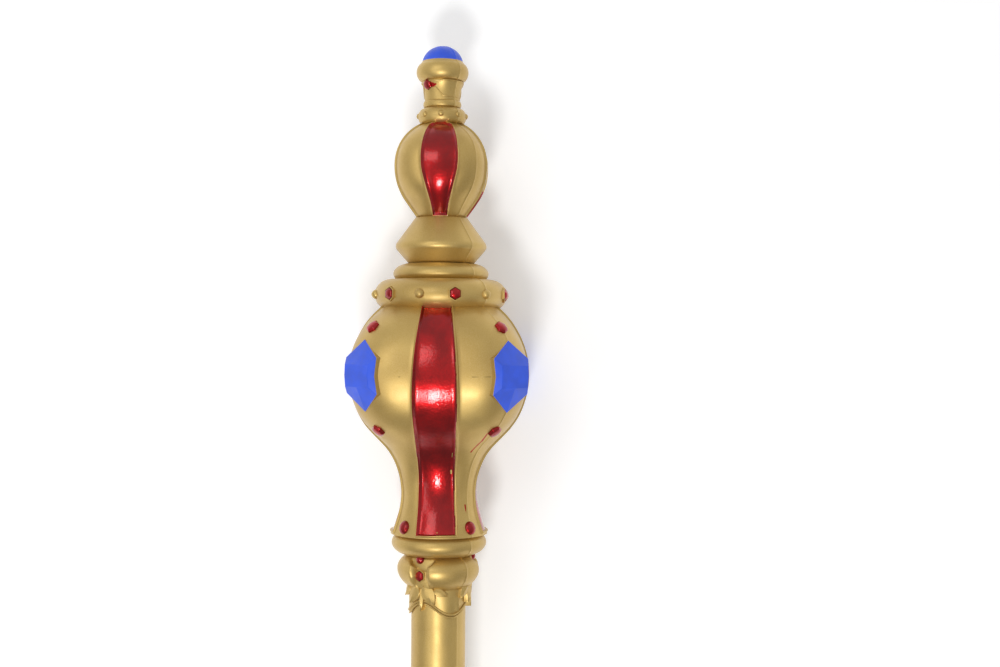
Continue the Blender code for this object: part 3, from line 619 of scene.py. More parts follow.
class Draft:
    """The points and faces of a piece in the making, with the number of each face's paint."""

    def __init__(self):
        self.points = []
        self.faces = []
        self.paints = []

    def add_points(self, points):
        """Add points, kept inside the frame's box and so flat where they meet the floor."""
        first = len(self.points)
        kept = np.clip(np.reshape(points, (-1, 3)), BOX_LOW, BOX_HIGH)
        self.points.extend(tuple(point) for point in kept)
        return list(range(first, len(self.points)))

    def add_face(self, corners, paint=0):
        self.faces.append(tuple(corners))
        self.paints.append(paint)

    def join_rings(self, lower, upper, paint=0):
        """A band of faces between two rings that run anticlockwise as seen from outside."""
        for i in range(len(lower)):
            j = (i + 1) % len(lower)
            self.add_face((lower[i], lower[j], upper[j], upper[i]), paint)

    def close_ring(self, ring, middle, paint=0):
        """A fan from a ring to a point above it."""
        centre = self.add_points([middle])[0]
        for i in range(len(ring)):
            self.add_face((ring[i], ring[(i + 1) % len(ring)], centre), paint)

    def finish(self, name, paints, node="head_section", sharp=35, bevel=0.0):
        """The piece as an object that stands in for its CAD node and rides with it."""
        mesh = bpy.data.meshes.new(name)
        mesh.from_pydata(self.points, [], self.faces)
        for paint in paints:
            mesh.materials.append(paint_named(paint))
        mesh.polygons.foreach_set("material_index", self.paints)
        mesh.validate()
        mesh.shade_smooth()
        mesh.set_sharp_from_angle(angle=math.radians(sharp))
        piece = add_object(name, mesh)
        if bevel:
            rounding = piece.modifiers.new("rounded_edges", "BEVEL")
            rounding.width = bevel
            rounding.segments = BEVEL_SEGMENTS
            rounding.limit_method = "ANGLE"
            rounding.angle_limit = BEVEL_FROM
        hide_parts(node)
        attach(piece, "root")


def add_object(name, data):
    """A new object in the scene."""
    thing = bpy.data.objects.new(name, data)
    bpy.context.scene.collection.objects.link(thing)
    return thing


def ring_turns(radii, features, spacing):
    """Azimuths of the columns for every row: each feature's own columns, with even ones between.

    A feature is (azimuth, offsets), with the offsets in metres round the skin."""
    reach = np.maximum(radii, THINNEST_SHARE * radii.max())[:, None]
    blocks = [centre + offsets / reach for centre, offsets in features]
    columns = []
    for block, following in zip(blocks, blocks[1:] + [blocks[0] + TURN]):
        gap = following[:, :1] - block[:, -1:]
        count = max(1, math.ceil(gap.max() * radii.max() / spacing))
        columns.append(block)
        columns.append(block[:, -1:] + gap * np.arange(1, count) / count)
    return np.concatenate(columns, axis=1)


def turned_skin(draft, turns, profile, lift=0.0, paints=None, swell=1.0):
    """A closed skin through rows of points, each row a ring round the staff."""
    places, radii = np.array(profile).T
    radii = radii[:, None] * np.broadcast_to(swell, turns.shape)
    along, out = np.gradient(places)[:, None], np.gradient(radii, axis=0)
    length = np.hypot(along, out)
    points = staff_points(turns, places[:, None] - lift * out / length,
                          radii + lift * along / length)
    rows, columns = turns.shape
    numbers = np.array(draft.add_points(points)).reshape(rows, columns)
    for row in range(rows - 1):
        for column in range(columns):
            right = (column + 1) % columns
            draft.add_face((numbers[row, column], numbers[row + 1, column],
                            numbers[row + 1, right], numbers[row, right]),
                           0 if paints is None else paints[row, column])
    draft.close_ring(list(numbers[0]), staff_points(0.0, places[0], 0.0),
                     0 if paints is None else paints[0, 0])
    draft.close_ring(list(numbers[-1][::-1]), staff_points(0.0, places[-1], 0.0))


def spot_points(spot, along, across, lift):
    """Points of an ornament: along the skin from its middle, out of it, then straight across.

    A spot is (azimuth, place, radius function)."""
    azimuth, place, radius_at = spot
    step = 0.0002
    slope = (radius_at(place + step) - radius_at(place - step)) / (2 * step)
    level = 1 / math.hypot(1.0, slope)
    own_place = place + np.asarray(along) * level
    lift = np.asarray(lift)
    points = staff_points(azimuth, own_place - slope * level * lift,
                          radius_at(own_place) + level * lift)
    sideways = staff_points(azimuth + math.pi / 2, 0.0, 1.0) - staff_points(0.0, 0.0, 0.0)
    return points + np.asarray(across)[..., None] * sideways


def outline_ring(stone, corners):
    """Corners of a stone's outline, the first of them towards the tip, anticlockwise."""
    angles = -TURN * np.arange(corners) / corners
    widen = 1 / math.cos(math.pi / corners)
    return stone.half_length * np.cos(angles), stone.half_width * widen * np.sin(angles)


def add_levels(draft, spot, outline, levels):
    """A stepped or domed ornament: one outline, scaled and lifted level by level.

    A level is (scale, lift, number of the paint below it)."""
    along, across = outline
    add_outlines(draft, spot, [(along * scale, across * scale, lift, paint)
                               for scale, lift, paint in levels])


def add_outlines(draft, spot, levels):
    """A solid skinned over outlines, given as (along, across, lift, number of the paint below)."""
    rings = [draft.add_points(spot_points(spot, *level[:3])) for level in levels]
    for lower, upper, level in zip(rings, rings[1:], levels[1:]):
        draft.join_rings(lower, upper, level[3])
    for ring, level in ((rings[-1], levels[-1]), (rings[0][::-1], levels[0])):
        draft.close_ring(ring, spot_points(spot, 0.0, 0.0, np.mean(level[2])), level[3])


def add_round_stud(draft, spot, stone, paint=0):
    """A round stud with a domed top."""
    dome = [(math.cos(angle), stone.height * math.sin(angle), paint)
            for angle in np.linspace(*STUD_DOME_ANGLES, STUD_STEPS)]
    add_levels(draft, spot, outline_ring(stone, STUD_SIDES),
               [(STUD_SPREAD, -STONE_SINK, paint)] + dome)


def stone_levels(stone, levels, paint):
    """A stone's levels with their heights in metres and their paint."""
    return [(scale, share * stone.height, paint) for scale, share in levels]


def add_cut_stone(draft, spot, stone, paint):
    """A six-sided stone: upright sides, a sloping crown and a flat table."""
    add_levels(draft, spot, outline_ring(stone, STONE_SIDES),
               [(1.0, -STONE_SINK, paint)] + stone_levels(stone, CUT_STONE_LEVELS, paint))


def add_set_stone(draft, spot, stone, metal, paint):
    """A six-sided stone inside a raised bezel of its own shape."""
    add_levels(draft, spot, outline_ring(stone, STONE_SIDES),
               [(BEZEL_SPREAD, -STONE_SINK, metal)] + stone_levels(stone, BEZEL_LEVELS, metal)
               + stone_levels(stone, SET_STONE_LEVELS, paint))


def add_cord(draft, turns, places, radius_at, radius, lift=0.0):
    """A thin raised cord that follows a closed line on the skin, half sunk in it."""
    path = staff_points(turns, places, radius_at(places) + lift)
    ahead = np.roll(path, -1, axis=0) - np.roll(path, 1, axis=0)
    ahead /= np.linalg.norm(ahead, axis=1)[:, None]
    out = path - staff_points(0.0, places, 0.0)
    out -= ahead * (out * ahead).sum(axis=1)[:, None]
    out /= np.linalg.norm(out, axis=1)[:, None]
    side = np.cross(ahead, out)
    angles = TURN * np.arange(CORD_SIDES)[:, None] / CORD_SIDES
    wide, high = radius * np.cos(angles), radius * np.sin(angles)
    rings = [draft.add_points(middle + wide * right + high * up)
             for middle, right, up in zip(path, side, out)]
    for lower, upper in zip(rings, rings[1:] + rings[:1]):
        draft.join_rings(lower, upper)


def seam_features(moulding):
    """The columns that carry the parting seam, on both sides of the staff."""
    return [(azimuth, moulding.seam_width * SEAM_COLUMNS[None, :]) for azimuth in SEAM_AZIMUTHS]


def seam_relief(moulding, turns, radii):
    """A fine rounded ridge along the two seams."""
    relief = np.zeros(turns.shape)
    for azimuth in SEAM_AZIMUTHS:
        away = (turns - azimuth + math.pi) % TURN - math.pi
        relief += np.exp(-(away * radii[:, None] / moulding.seam_width) ** 2)
    return moulding.seam_height * relief * np.clip(radii[:, None] / SEAM_FADE, 0.0, 1.0) ** 2


def plain_turns(moulding, profile, spacing):
    """Columns for a skin with nothing on it but the seam."""
    radii = np.array(profile)[:, 1]
    return ring_turns(radii, seam_features(moulding), spacing)


def blown_waves(moulding, turns, places):
    """The slight unevenness of a skin that was blown against its mould."""
    waves = sum(strength * np.sin(around * turns + along * places[:, None] + phase)
                for around, along, phase, strength in WAVES)
    return moulding.waviness * waves / 2


def plain_skin(draft, profile, moulding, spacing=SKIN_SPACING):
    """A turned skin with nothing on it but the seam and its own unevenness."""
    turns = plain_turns(moulding, profile, spacing)
    places, radii = np.array(profile).T
    lift = seam_relief(moulding, turns, radii) + blown_waves(moulding, turns, places)
    turned_skin(draft, turns, profile, lift)


# ---- Materials ----------------------------------------------------------------------------------

def add_node(tree, kind, inputs=None, **settings):
    """A node with its settings; each input is a value, or a socket to link from."""
    node = tree.nodes.new(kind)
    for key, value in settings.items():
        setattr(node, key, value)
    for key, value in (inputs or {}).items():
        if isinstance(value, bpy.types.NodeSocket):
            tree.links.new(value, node.inputs[key])
        else:
            node.inputs[key].default_value = value
    return node


# A Mix node's inputs and output for colours.
MIX_FACTOR, MIX_FIRST, MIX_SECOND, MIX_RESULT = 0, 6, 7, 2


def mix_colours(tree, factor, first, second):
    """Two colours mixed by a factor; each of the three is a value, or a socket to link from."""
    node = add_node(tree, "ShaderNodeMix", data_type="RGBA", clamp_factor=True)
    for index, value in ((MIX_FACTOR, factor), (MIX_FIRST, first), (MIX_SECOND, second)):
        if isinstance(value, bpy.types.NodeSocket):
            tree.links.new(value, node.inputs[index])
        else:
            node.inputs[index].default_value = (*value, 1.0)
    return node.outputs[MIX_RESULT]


def calculated(tree, operation, first, second=0.0):
    """What a sum or another operation makes of two values."""
    return add_node(tree, "ShaderNodeMath", {0: first, 1: second}, operation=operation).outputs[0]


def step_between(tree, value, low, high, bottom=0.0, top=1.0):
    """A smooth step from bottom to top as the value goes from low to high."""
    node = add_node(tree, "ShaderNodeMapRange",
                    {"Value": value, "From Min": low, "From Max": high, "To Min": bottom,
                     "To Max": top}, interpolation_type="SMOOTHSTEP")
    return node.outputs["Result"]


def cloud(tree, coordinates, size, detail=2.0, roughness=0.5):
    """Soft noise with features of about that size."""
    return add_node(tree, "ShaderNodeTexNoise",
                    {"Vector": coordinates, "Scale": 1.0 / size, "Detail": detail,
                     "Roughness": roughness}).outputs["Fac"]


def patches(tree, coordinates, size, detail=2.0, contrast=(0.3, 0.7), bottom=0.0, top=1.0):
    """Soft patches of about that size, whose values go from bottom to top."""
    return step_between(tree, cloud(tree, coordinates, size, detail), *contrast, bottom, top)


def near_line(tree, coordinates, ends, width):
    """1 within about that width of the line between two points, and 0 farther off."""
    start, end = (Vector(end) for end in ends)
    along = end - start
    away = add_node(tree, "ShaderNodeVectorMath", {0: coordinates, 1: start}, operation="SUBTRACT")
    share = add_node(tree, "ShaderNodeVectorMath",
                     {0: away.outputs["Vector"], 1: along / along.length_squared},
                     operation="DOT_PRODUCT")
    share = add_node(tree, "ShaderNodeClamp", {"Value": share.outputs["Value"]})
    foot = add_node(tree, "ShaderNodeVectorMath", {0: along, "Scale": share.outputs["Result"]},
                    operation="SCALE")
    gap = add_node(tree, "ShaderNodeVectorMath",
                   {0: away.outputs["Vector"], 1: foot.outputs["Vector"]}, operation="DISTANCE")
    ragged = cloud(tree, coordinates, size=0.0012, detail=1.0)
    distance = calculated(tree, "ADD", gap.outputs["Value"],
                          calculated(tree, "MULTIPLY", ragged, MARK_RAGGEDNESS * width))
    return step_between(tree, distance, width, MARK_EDGE * width, 1.0, 0.0)


def brush_marks(tree, coordinates, colour, marks, paint):
    """The colour with marks of another paint on it."""
    for mark in marks:
        ends = [staff_points(math.radians(turn), place, radius)
                for turn, place, radius in (mark.start, mark.end)]
        colour = mix_colours(tree, near_line(tree, coordinates, ends, mark.width), colour, paint)
    return colour


def new_paint(name, metallic, coat, coat_roughness):
    """A material with one shader, and the tree, shader and skin coordinates to work on."""
    material = bpy.data.materials.new(name)
    material.use_nodes = True
    tree = material.node_tree
    shader = tree.nodes["Principled BSDF"]
    shader.inputs["Metallic"].default_value = metallic
    shader.inputs["Coat Weight"].default_value = coat
    shader.inputs["Coat Roughness"].default_value = coat_roughness
    shader.inputs["Coat IOR"].default_value = 1.4
    coordinates = add_node(tree, "ShaderNodeTexCoord").outputs["Object"]
    return material, tree, shader, coordinates


def uneven_skin(tree, height, distance):
    """The direction that a skin faces when it is uneven by that distance."""
    return add_node(tree, "ShaderNodeBump", {"Height": height, "Distance": distance,
                                             "Strength": 1.0}).outputs["Normal"]


def connect(tree, shader, sockets):
    """Link values to a shader's sockets of those names."""
    for name, value in sockets.items():
        tree.links.new(value, shader.inputs[name])


def satin_gold(paint):
    """Satin gold paint: a fine metallic grain over slow changes in the coat's thickness."""
    material, tree, shader, coordinates = new_paint("satin_gold", metallic=0.86, coat=0.30,
                                                    coat_roughness=0.28)
    thickness = patches(tree, coordinates, size=0.030, detail=3.0, contrast=(0.35, 0.65))
    colour = mix_colours(tree, thickness, paint.gold_shade, paint.gold)
    grain = patches(tree, coordinates, size=0.0004, detail=1.0, top=0.10)
    bright = mix_colours(tree, grain, colour, GOLD_GLINT)
    # Painted shade: thin dark lines, darker than the thin-coat gold, where fine ripples cross the
    # bulb's gold.
    dark = tuple(RIPPLE_SHADE_DARKNESS * value for value in paint.gold_shade)
    ripple_shaded = brush_marks(tree, coordinates, bright, RIPPLE_SHADE_LINES, dark)
    connect(tree, shader, {
        "Base Color": brush_marks(tree, coordinates, ripple_shaded, RED_ON_GOLD, paint.red),
        "Roughness": patches(tree, coordinates, size=0.012, bottom=paint.gold_roughness - 0.04,
                             top=paint.gold_roughness + 0.04),
        "Normal": uneven_skin(tree, cloud(tree, coordinates, size=0.0016), distance=0.00002)})
    return material


def candy_red(paint):
    """Candy-red enamel: metallic flake under a clear gloss with an orange-peel skin."""
    material, tree, shader, coordinates = new_paint("candy_red", metallic=0.92, coat=1.0,
                                                    coat_roughness=0.04)
    thickness = patches(tree, coordinates, size=0.010, detail=3.0)
    colour = mix_colours(tree, thickness, paint.red, paint.red_shade)
    peel = cloud(tree, coordinates, size=0.0013, detail=3.0, roughness=0.6)
    skin = uneven_skin(tree, peel, distance=paint.peel)
    connect(tree, shader, {
        "Base Color": brush_marks(tree, coordinates, colour, GOLD_ON_RED, paint.gold),
        "Roughness": patches(tree, coordinates, size=0.0005, contrast=(0.35, 0.65),
                             bottom=paint.red_roughness - 0.06, top=paint.red_roughness + 0.06),
        "Normal": skin, "Coat Normal": skin})
    return material


def flat_blue(paint):
    """Flat blue paint with a soft sheen, slightly uneven where it was dabbed on."""
    material, tree, shader, coordinates = new_paint("flat_blue", metallic=0.0, coat=0.12,
                                                    coat_roughness=0.20)
    thickness = patches(tree, coordinates, size=0.006, detail=3.0)
    light = tuple(min(1.0, BLUE_LIGHT * value) for value in paint.blue)
    dabs = cloud(tree, coordinates, size=0.0020, detail=3.0)
    connect(tree, shader, {
        "Base Color": mix_colours(tree, thickness, paint.blue, light),
        "Roughness": patches(tree, coordinates, size=0.003, bottom=paint.blue_roughness - 0.05,
                             top=paint.blue_roughness + 0.07),
        "Normal": uneven_skin(tree, dabs, distance=0.00003)})
    return material


def paint_named(name):
    """The scene's material of that name, made the first time that a piece asks for it."""
    makers = {"satin_gold": satin_gold, "candy_red": candy_red, "flat_blue": flat_blue}
    paint = bpy.context.scene.sceptre_paint
    return bpy.data.materials.get(name) or makers[name](paint)


# ---- Pieces of the head -------------------------------------------------------------------------

def panel_turns(radii, places, widths, moulding, spacing):
    """Columns that run along the panels' lips, walls and paint lines, and along the seams."""
    half_width = smooth_through(widths, places)
    crest = radii * np.arcsin(np.clip(half_width / radii, 0.0, WIDEST_PANEL))
    edge = np.concatenate((LIP_COLUMNS * moulding.lip_width, -WALL_COLUMNS * moulding.panel_wall))
    field = (crest - moulding.panel_wall)[:, None] * np.linspace(-1.0, 1.0, PANEL_COLUMNS)[1:-1]
    sides = crest[:, None] + edge
    offsets = np.concatenate((-sides, field, sides[:, ::-1]), axis=1)
    features = [(azimuth, offsets) for azimuth in PANEL_AZIMUTHS] + seam_features(moulding)
    return ring_turns(radii, sorted(features, key=lambda feature: feature[0]), spacing), crest


def panel_depths(turns, radii, crest, places, top, bottom, arch):
    """How far inside its panel each point is, in metres, and less than 0 outside it."""
    inside = np.full(turns.shape, -1.0)
    for azimuth in PANEL_AZIMUTHS:
        away = np.abs((turns - azimuth + math.pi) % TURN - math.pi) * radii[:, None]
        inside = np.maximum(inside, crest[:, None] - away)
    aside = np.clip(1 - inside / crest[:, None], 0.0, 1.0)
    return np.minimum(inside, np.minimum(places[:, None] - top - arch * aside ** 2,
                                         (bottom - places)[:, None]))


def panel_relief(inside, crest, moulding):
    """A rounded lip at the panel's edge, and a soft wall down to its gently rounded floor."""
    outer = np.clip(1 + inside / moulding.lip_width, 0.0, 1.0)
    lip = moulding.lip_height * (1 - np.cos(math.pi * outer)) / 2
    fall = np.clip(inside / moulding.panel_wall, 0.0, 1.0)
    fall = fall * fall * (3 - 2 * fall)
    share = np.clip(inside / crest[:, None], 0.0, 1.0)
    return (lip - (moulding.lip_height + moulding.panel_depth) * fall
            + moulding.panel_bulge * share * (2 - share))


def panelled_skin(draft, places, radius_at, lobes, widths, ends, moulding, spacing, reach):
    """A bulb's lobed skin with its panels, painted red as far as the reach past each crest."""
    radii = radius_at(places)
    turns, crest = panel_turns(radii, places, widths, moulding, spacing)
    inside = panel_depths(turns, radii, crest, places, *ends)
    lift = (panel_relief(inside, crest, moulding) + seam_relief(moulding, turns, radii)
            + blown_waves(moulding, turns, places))
    limit = np.zeros(turns.shape)
    for row, place in enumerate(places):
        for column in range(turns.shape[1]):
            limit[row, column] = reach(place, turns[row, column])
    painted = inside + limit > 0
    middle = painted & np.roll(painted, -1, axis=1)
    paints = np.zeros(turns.shape, int)
    paints[:-1] = middle[:-1] & middle[1:]
    lobing = smooth_through(lobes, np.clip(places, lobes[0][0], lobes[-1][0]))[:, None]
    turned_skin(draft, turns, list(zip(places, radii)), lift, paints, lobe_swell(turns, lobing))


def eased(radius_at, start, end):
    """The same radius averaged over a short length, so that no join shows in the gloss."""
    def eased_radius(places):
        span = np.minimum(EASING_REACH, np.minimum(places - start, end - places))
        shares = np.linspace(-1.0, 1.0, EASING_SAMPLES)
        return sum(radius_at(places + span * share) for share in shares) / len(shares)
    return eased_radius


def rows_between(start, end, spacing, fine):
    """Places down a skin, closer together round the fine places."""
    places = list(np.linspace(start, end, max(2, math.ceil((end - start) / spacing) + 1)))
    for middle in fine:
        low, high = max(start, middle - FINE_REACH), min(end, middle + FINE_REACH)
        places = [place for place in places if not low - ROUND_OFF <= place <= high + ROUND_OFF]
        places += list(np.linspace(low, high, math.ceil((high - low) / FINE_SPACING) + 1))
    return np.array(sorted(set(places + [start, end])))


def build_tip(moulding):
    """The blue dome, the rim, the cup under it and the studded neck ring."""
    draft = Draft()
    dome = [(DOME_DIP + place * (1 - DOME_DIP / DOME_RADIUS), radius)
            for place, radius in dome_profile(DOME_RADIUS, math.radians(80), steps=22)]
    cup = [(place, head_cup_radius(place))
           for place in np.linspace(CUP_START + SKIN_OVERLAP, CUP_END, 26)]
    profile = (dome + bead_profile(RIM_BEAD, steps=22, start=-0.90, end=0.97) + cup
               + bead_profile(CUP_BEAD, steps=12, start=-1.0, end=1.0)
               + bead_profile(STUD_BEAD, steps=20, end=1.0))
    turns = plain_turns(moulding, profile, TIP_SPACING)
    places, radii = np.array(profile).T
    paints = np.zeros(turns.shape, int)
    paints[places < dome[-1][0]] = 1
    turned_skin(draft, turns, profile, seam_relief(moulding, turns, radii), paints)
    stud_ring = bead_radius(STUD_BEAD)
    for number in range(STUDS_ROUND_THE_NECK):
        azimuth = TURN * number / STUDS_ROUND_THE_NECK
        add_round_stud(draft, (azimuth, STUD_BEAD.middle - STUD_RING_DROP, stud_ring), RING_STUD)
    for azimuth in CUP_STONE_AZIMUTHS:
        add_cut_stone(draft, (azimuth, CUP_STONE_PLACE, head_cup_radius), CUP_STONE, 2)
    add_cup_cords(draft, head_cup_radius, CUP_STONE_AZIMUTHS, CUP_STONE_PLACE, CUP_FIELD)
    draft.finish("head_tip", ("satin_gold", "flat_blue", "candy_red"))


def add_cup_cords(draft, radius_at, azimuths, middle, field):
    """Cords that frame the two broad fields of a cup, each field pointed towards the stones."""
    quarter = math.pi / 2
    reach = quarter - field.gap / radius_at(middle)
    loop = ((-1.0, middle), (-FIELD_CORNER, field.top), (FIELD_CORNER, field.top), (1.0, middle),
            (FIELD_CORNER, field.bottom), (-FIELD_CORNER, field.bottom))
    for azimuth in azimuths:
        turns, places = [], []
        for (share, place), (next_share, next_place) in zip(loop, loop[1:] + loop[:1]):
            for step in np.arange(FIELD_SIDE_STEPS) / FIELD_SIDE_STEPS:
                turns.append(azimuth + quarter + (share + (next_share - share) * step) * reach)
                places.append(place + (next_place - place) * step)
        add_cord(draft, np.array(turns), np.array(places), radius_at, CORD_RADIUS)


def build_small_bulb(moulding):
    """The small bulb, with four red panels."""
    draft = Draft()
    fine = [SMALL_BULB_START + row for row in SMALL_ARCH_ROWS] + [SMALL_BULB_END]
    places = rows_between(SMALL_BULB_START - SKIN_OVERLAP, SMALL_BULB_END + SKIN_OVERLAP,
                          SMALL_BULB_ROWS, fine)
    ends = (SMALL_BULB_START + SMALL_ARCH_DROP, SMALL_BULB_END, SMALL_ARCH_LENGTH)

    def reach(place, turn):
        """The paint stays inside the lips of the side panels, but for their lower ends."""
        panel = round(turn * len(PANEL_AZIMUTHS) / TURN)
        short = panel % 2 and place < SMALL_SIDE_PAINT_FULL
        return -(SIDE_PAINT_SHORT if short else SMALL_PAINT_SHORT) * moulding.panel_wall

    panelled_skin(draft, places, small_bulb_radius, SMALL_BULB_LOBES, SMALL_PANEL_WIDTHS, ends,
                  moulding, SMALL_BULB_SPACING, reach)
    draft.finish("small_bulb", ("satin_gold", "candy_red"))


def build_cones(moulding):
    """The double cone and the plain disk ring under it."""
    draft = Draft()
    plain_skin(draft, cone_ring_profile(HEAD_CONES, steps=12), moulding)
    plain_skin(draft, bead_profile(DISK_BEAD, steps=24), moulding)
    draft.finish("cone_and_disk", ("satin_gold",))


def build_gem_ring(moulding):
    """The broad ring with six set stones and six round studs."""
    draft = Draft()
    plain_skin(draft, bead_profile(GEM_BEAD, steps=40, end=0.985), moulding)
    ring = bead_radius(GEM_BEAD)
    for number in range(STONES_ROUND_A_RING):
        azimuth = TURN * (number + 0.5) / STONES_ROUND_A_RING
        spot = (azimuth, GEM_BEAD.middle, ring)
        if number % 2:
            add_round_stud(draft, spot, RING_GOLD_STUD)
        else:
            add_set_stone(draft, spot, RING_RED_STONE, 0, 1)
    draft.finish("gem_ring", ("satin_gold", "candy_red"))


def build_main_bulb(moulding):
    """The large bulb with its waist and flare, and four red panels down it."""
    draft = Draft()
    start, end = BULB_START - MAIN_BULB_TUCK, FLARE_END
    panels = len(PANEL_AZIMUTHS)

    def reach(place, turn):
        """The paint ends past the lip's crest on one side, and on the wall on the other."""
        panel = round(turn * panels / TURN) % panels
        if panel % 2:
            return -SIDE_PAINT_SHORT * moulding.panel_wall
        right = math.sin(turn - panel * TURN / panels) > 0
        row = PAINT_WOBBLE_RIGHT if right else PAINT_WOBBLE_LEFT
        wobble = PAINT_WOBBLE * noise.noise(Vector((place * PAINT_WOBBLE_SCALE, row, turn)))
        return wobble + (-RIGHT_PAINT_SHORT * moulding.panel_wall if right
                         else LEFT_PAINT_OVER * moulding.lip_width)

    ends = (BULB_START - MAIN_PANEL_TUCK, FLARE_END - MAIN_PANEL_FOOT, 0.0)
    panelled_skin(draft, rows_between(start, end, MAIN_BULB_ROWS, MAIN_FINE_ROWS),
                  eased(main_bulb_radius, start, end), MAIN_BULB_LOBES, MAIN_PANEL_WIDTHS, ends,
                  moulding, MAIN_BULB_SPACING, reach)
    draft.finish("main_bulb", ("satin_gold", "candy_red"))


def mirrored(along, across):
    """An outline from its half and the same half turned round."""
    return np.concatenate((along, -along)), np.concatenate((across, -across))


def build_blue_gem(azimuth, name):
    """A large faceted stone: an upright gold wall, then a blue bevel round a flat table."""
    draft = Draft()
    outline = mirrored(np.array([BLUE_HALF_LENGTH, BLUE_CORNER, 0.0, -BLUE_CORNER]),
                       np.array([0.0, -BLUE_HALF_WIDTH, -BLUE_WAIST, -BLUE_HALF_WIDTH]))
    table = mirrored(BLUE_TABLE_LENGTH * np.array([1.0, 1.0, 0.0, -1.0]),
                     BLUE_TABLE_WIDTH * np.array([0.0, -1.0, -1.0, -1.0]))
    edge = BLUE_WALL - BLUE_SETTLE * (outline[1] / BLUE_HALF_WIDTH) ** 2
    add_outlines(draft, (azimuth, BLUE_PLACE, lobe_crest_radius),
                 ((*outline, -BLUE_SINK, 0), (*outline, edge, 0), (*table, BLUE_TABLE_HEIGHT, 1)))
    draft.finish(name, ("satin_gold", "flat_blue"), sharp=12,
                 bevel=BLUE_EDGE_ROUNDING)


def build_bulb_stones():
    """The small red stones above and below each blue one, and those on the flare."""
    draft = Draft()
    for azimuth in LOBE_AZIMUTHS:
        for place in SMALL_STONE_PLACES:
            add_cut_stone(draft, (azimuth, place, lobe_crest_radius), SMALL_STONE, 0)
        add_round_stud(draft, (azimuth, FLARE_STONE_PLACE, lobe_crest_radius), FLARE_STONE, 0)
    draft.finish("bulb_red_stones", ("candy_red",), bevel=SMALL_STONE_ROUNDING)


def build_base_ring(moulding):
    """The plain ring that carries the bulb's flare."""
    draft = Draft()
    plain_skin(draft, bead_profile(BASE_BEAD, steps=26), moulding)
    draft.finish("base_ring", ("satin_gold",))


def knop_gap(place):
    """Half the width of the hollow between two cushions: a V above, and wider again below."""
    return np.interp(place, *np.array(KNOP_GAPS).T)


def even_radius(radius):
    """A function that gives the same radius at every place."""
    return lambda place: np.full(np.shape(place), radius)


def build_knop(moulding):
    """Three puffed cushions round a core, with a pair of stones and a spray of leaves between."""
    draft = Draft()
    places = np.linspace(KNOP_START, KNOP_END, KNOP_ROWS)
    radii = np.maximum(knop_radius(places), COLLAR_RADIUS - KNOP_OVERLAP)
    turns = np.tile(np.linspace(0, TURN, KNOP_COLUMNS + 1)[:-1], (KNOP_ROWS, 1))
    inside = np.full(turns.shape, 1.0)
    for azimuth in KNOP_ORNAMENT_AZIMUTHS:
        away = np.abs((turns - azimuth - KNOP_GAP_TURN + math.pi) % TURN - math.pi) * KNOP_RADIUS
        inside = np.minimum(inside, away - knop_gap(places)[:, None])
    edge = np.clip(inside / KNOP_CUSHION_ROUNDING, 0.0, 1.0)
    puff = np.sqrt(np.clip(1 - (1 - edge) ** 2, 0.0, 1.0))
    hollow = np.maximum(radii - KNOP_CORE, 0.0)[:, None]
    lift = (puff - 1) * hollow + seam_relief(moulding, turns, radii)
    turned_skin(draft, turns, list(zip(places, radii)), lift)
    core = even_radius(KNOP_CORE)
    for azimuth in KNOP_ORNAMENT_AZIMUTHS:
        add_set_stone(draft, (azimuth, KNOP_STONE_PLACE, core), KNOP_STONE, 0, 1)
        add_round_stud(draft, (azimuth, KNOP_BEAD_STONE_PLACE, core), KNOP_BEAD_STONE, 1)
        for leaf in KNOP_LEAVES:
            add_leaf(draft, azimuth, leaf)
    draft.finish("knop", ("satin_gold", "candy_red"), sharp=30)


def add_leaf(draft, azimuth, leaf):
    """A pointed leaf with a crease down its middle and upright sides."""
    shares = np.linspace(-1.0, 1.0, LEAF_ROWS)
    spread = np.cos(shares * math.pi / 2) ** LEAF_FULLNESS * (1 - LEAF_TAPER * shares)
    columns, heights = np.array(LEAF_SECTION).T
    along = np.repeat(shares[:, None] * leaf.half_length, len(columns), axis=1)
    across = spread[:, None] * columns * leaf.half_width
    turned_along = along * math.cos(leaf.turn) - across * math.sin(leaf.turn)
    turned_across = along * math.sin(leaf.turn) + across * math.cos(leaf.turn)
    spot = (azimuth + leaf.sideways / COLLAR_RADIUS, leaf.place, even_radius(COLLAR_RADIUS))
    lift = np.broadcast_to(heights * leaf.rise, along.shape)
    sheets = [draft.add_points(spot_points(spot, turned_along, turned_across, height))
              for height in (lift, -STONE_SINK)]
    top, low = np.reshape(sheets, (2, *along.shape))
    for i in range(len(shares) - 1):
        for j in range(len(columns) - 1):
            draft.add_face((top[i, j], top[i + 1, j], top[i + 1, j + 1], top[i, j + 1]))
            draft.add_face((low[i, j], low[i, j + 1], low[i + 1, j + 1], low[i + 1, j]))
        draft.add_face((top[i, 0], low[i, 0], low[i + 1, 0], top[i + 1, 0]))
        draft.add_face((top[i, -1], top[i + 1, -1], low[i + 1, -1], low[i, -1]))
    for j in range(len(columns) - 1):
        draft.add_face((top[0, j], top[0, j + 1], low[0, j + 1], low[0, j]))
        draft.add_face((top[-1, j], low[-1, j], low[-1, j + 1], top[-1, j + 1]))


def festoon_place(turns, offset=0.0):
    """The collar's lower edge: it hangs in a swag between each two ornaments."""
    phase = len(KNOP_ORNAMENT_AZIMUTHS) * (turns - KNOP_ORNAMENT_AZIMUTHS[0])
    return FESTOON_HIGH + offset + (FESTOON_LOW - FESTOON_HIGH) * (1 - np.cos(phase)) / 2


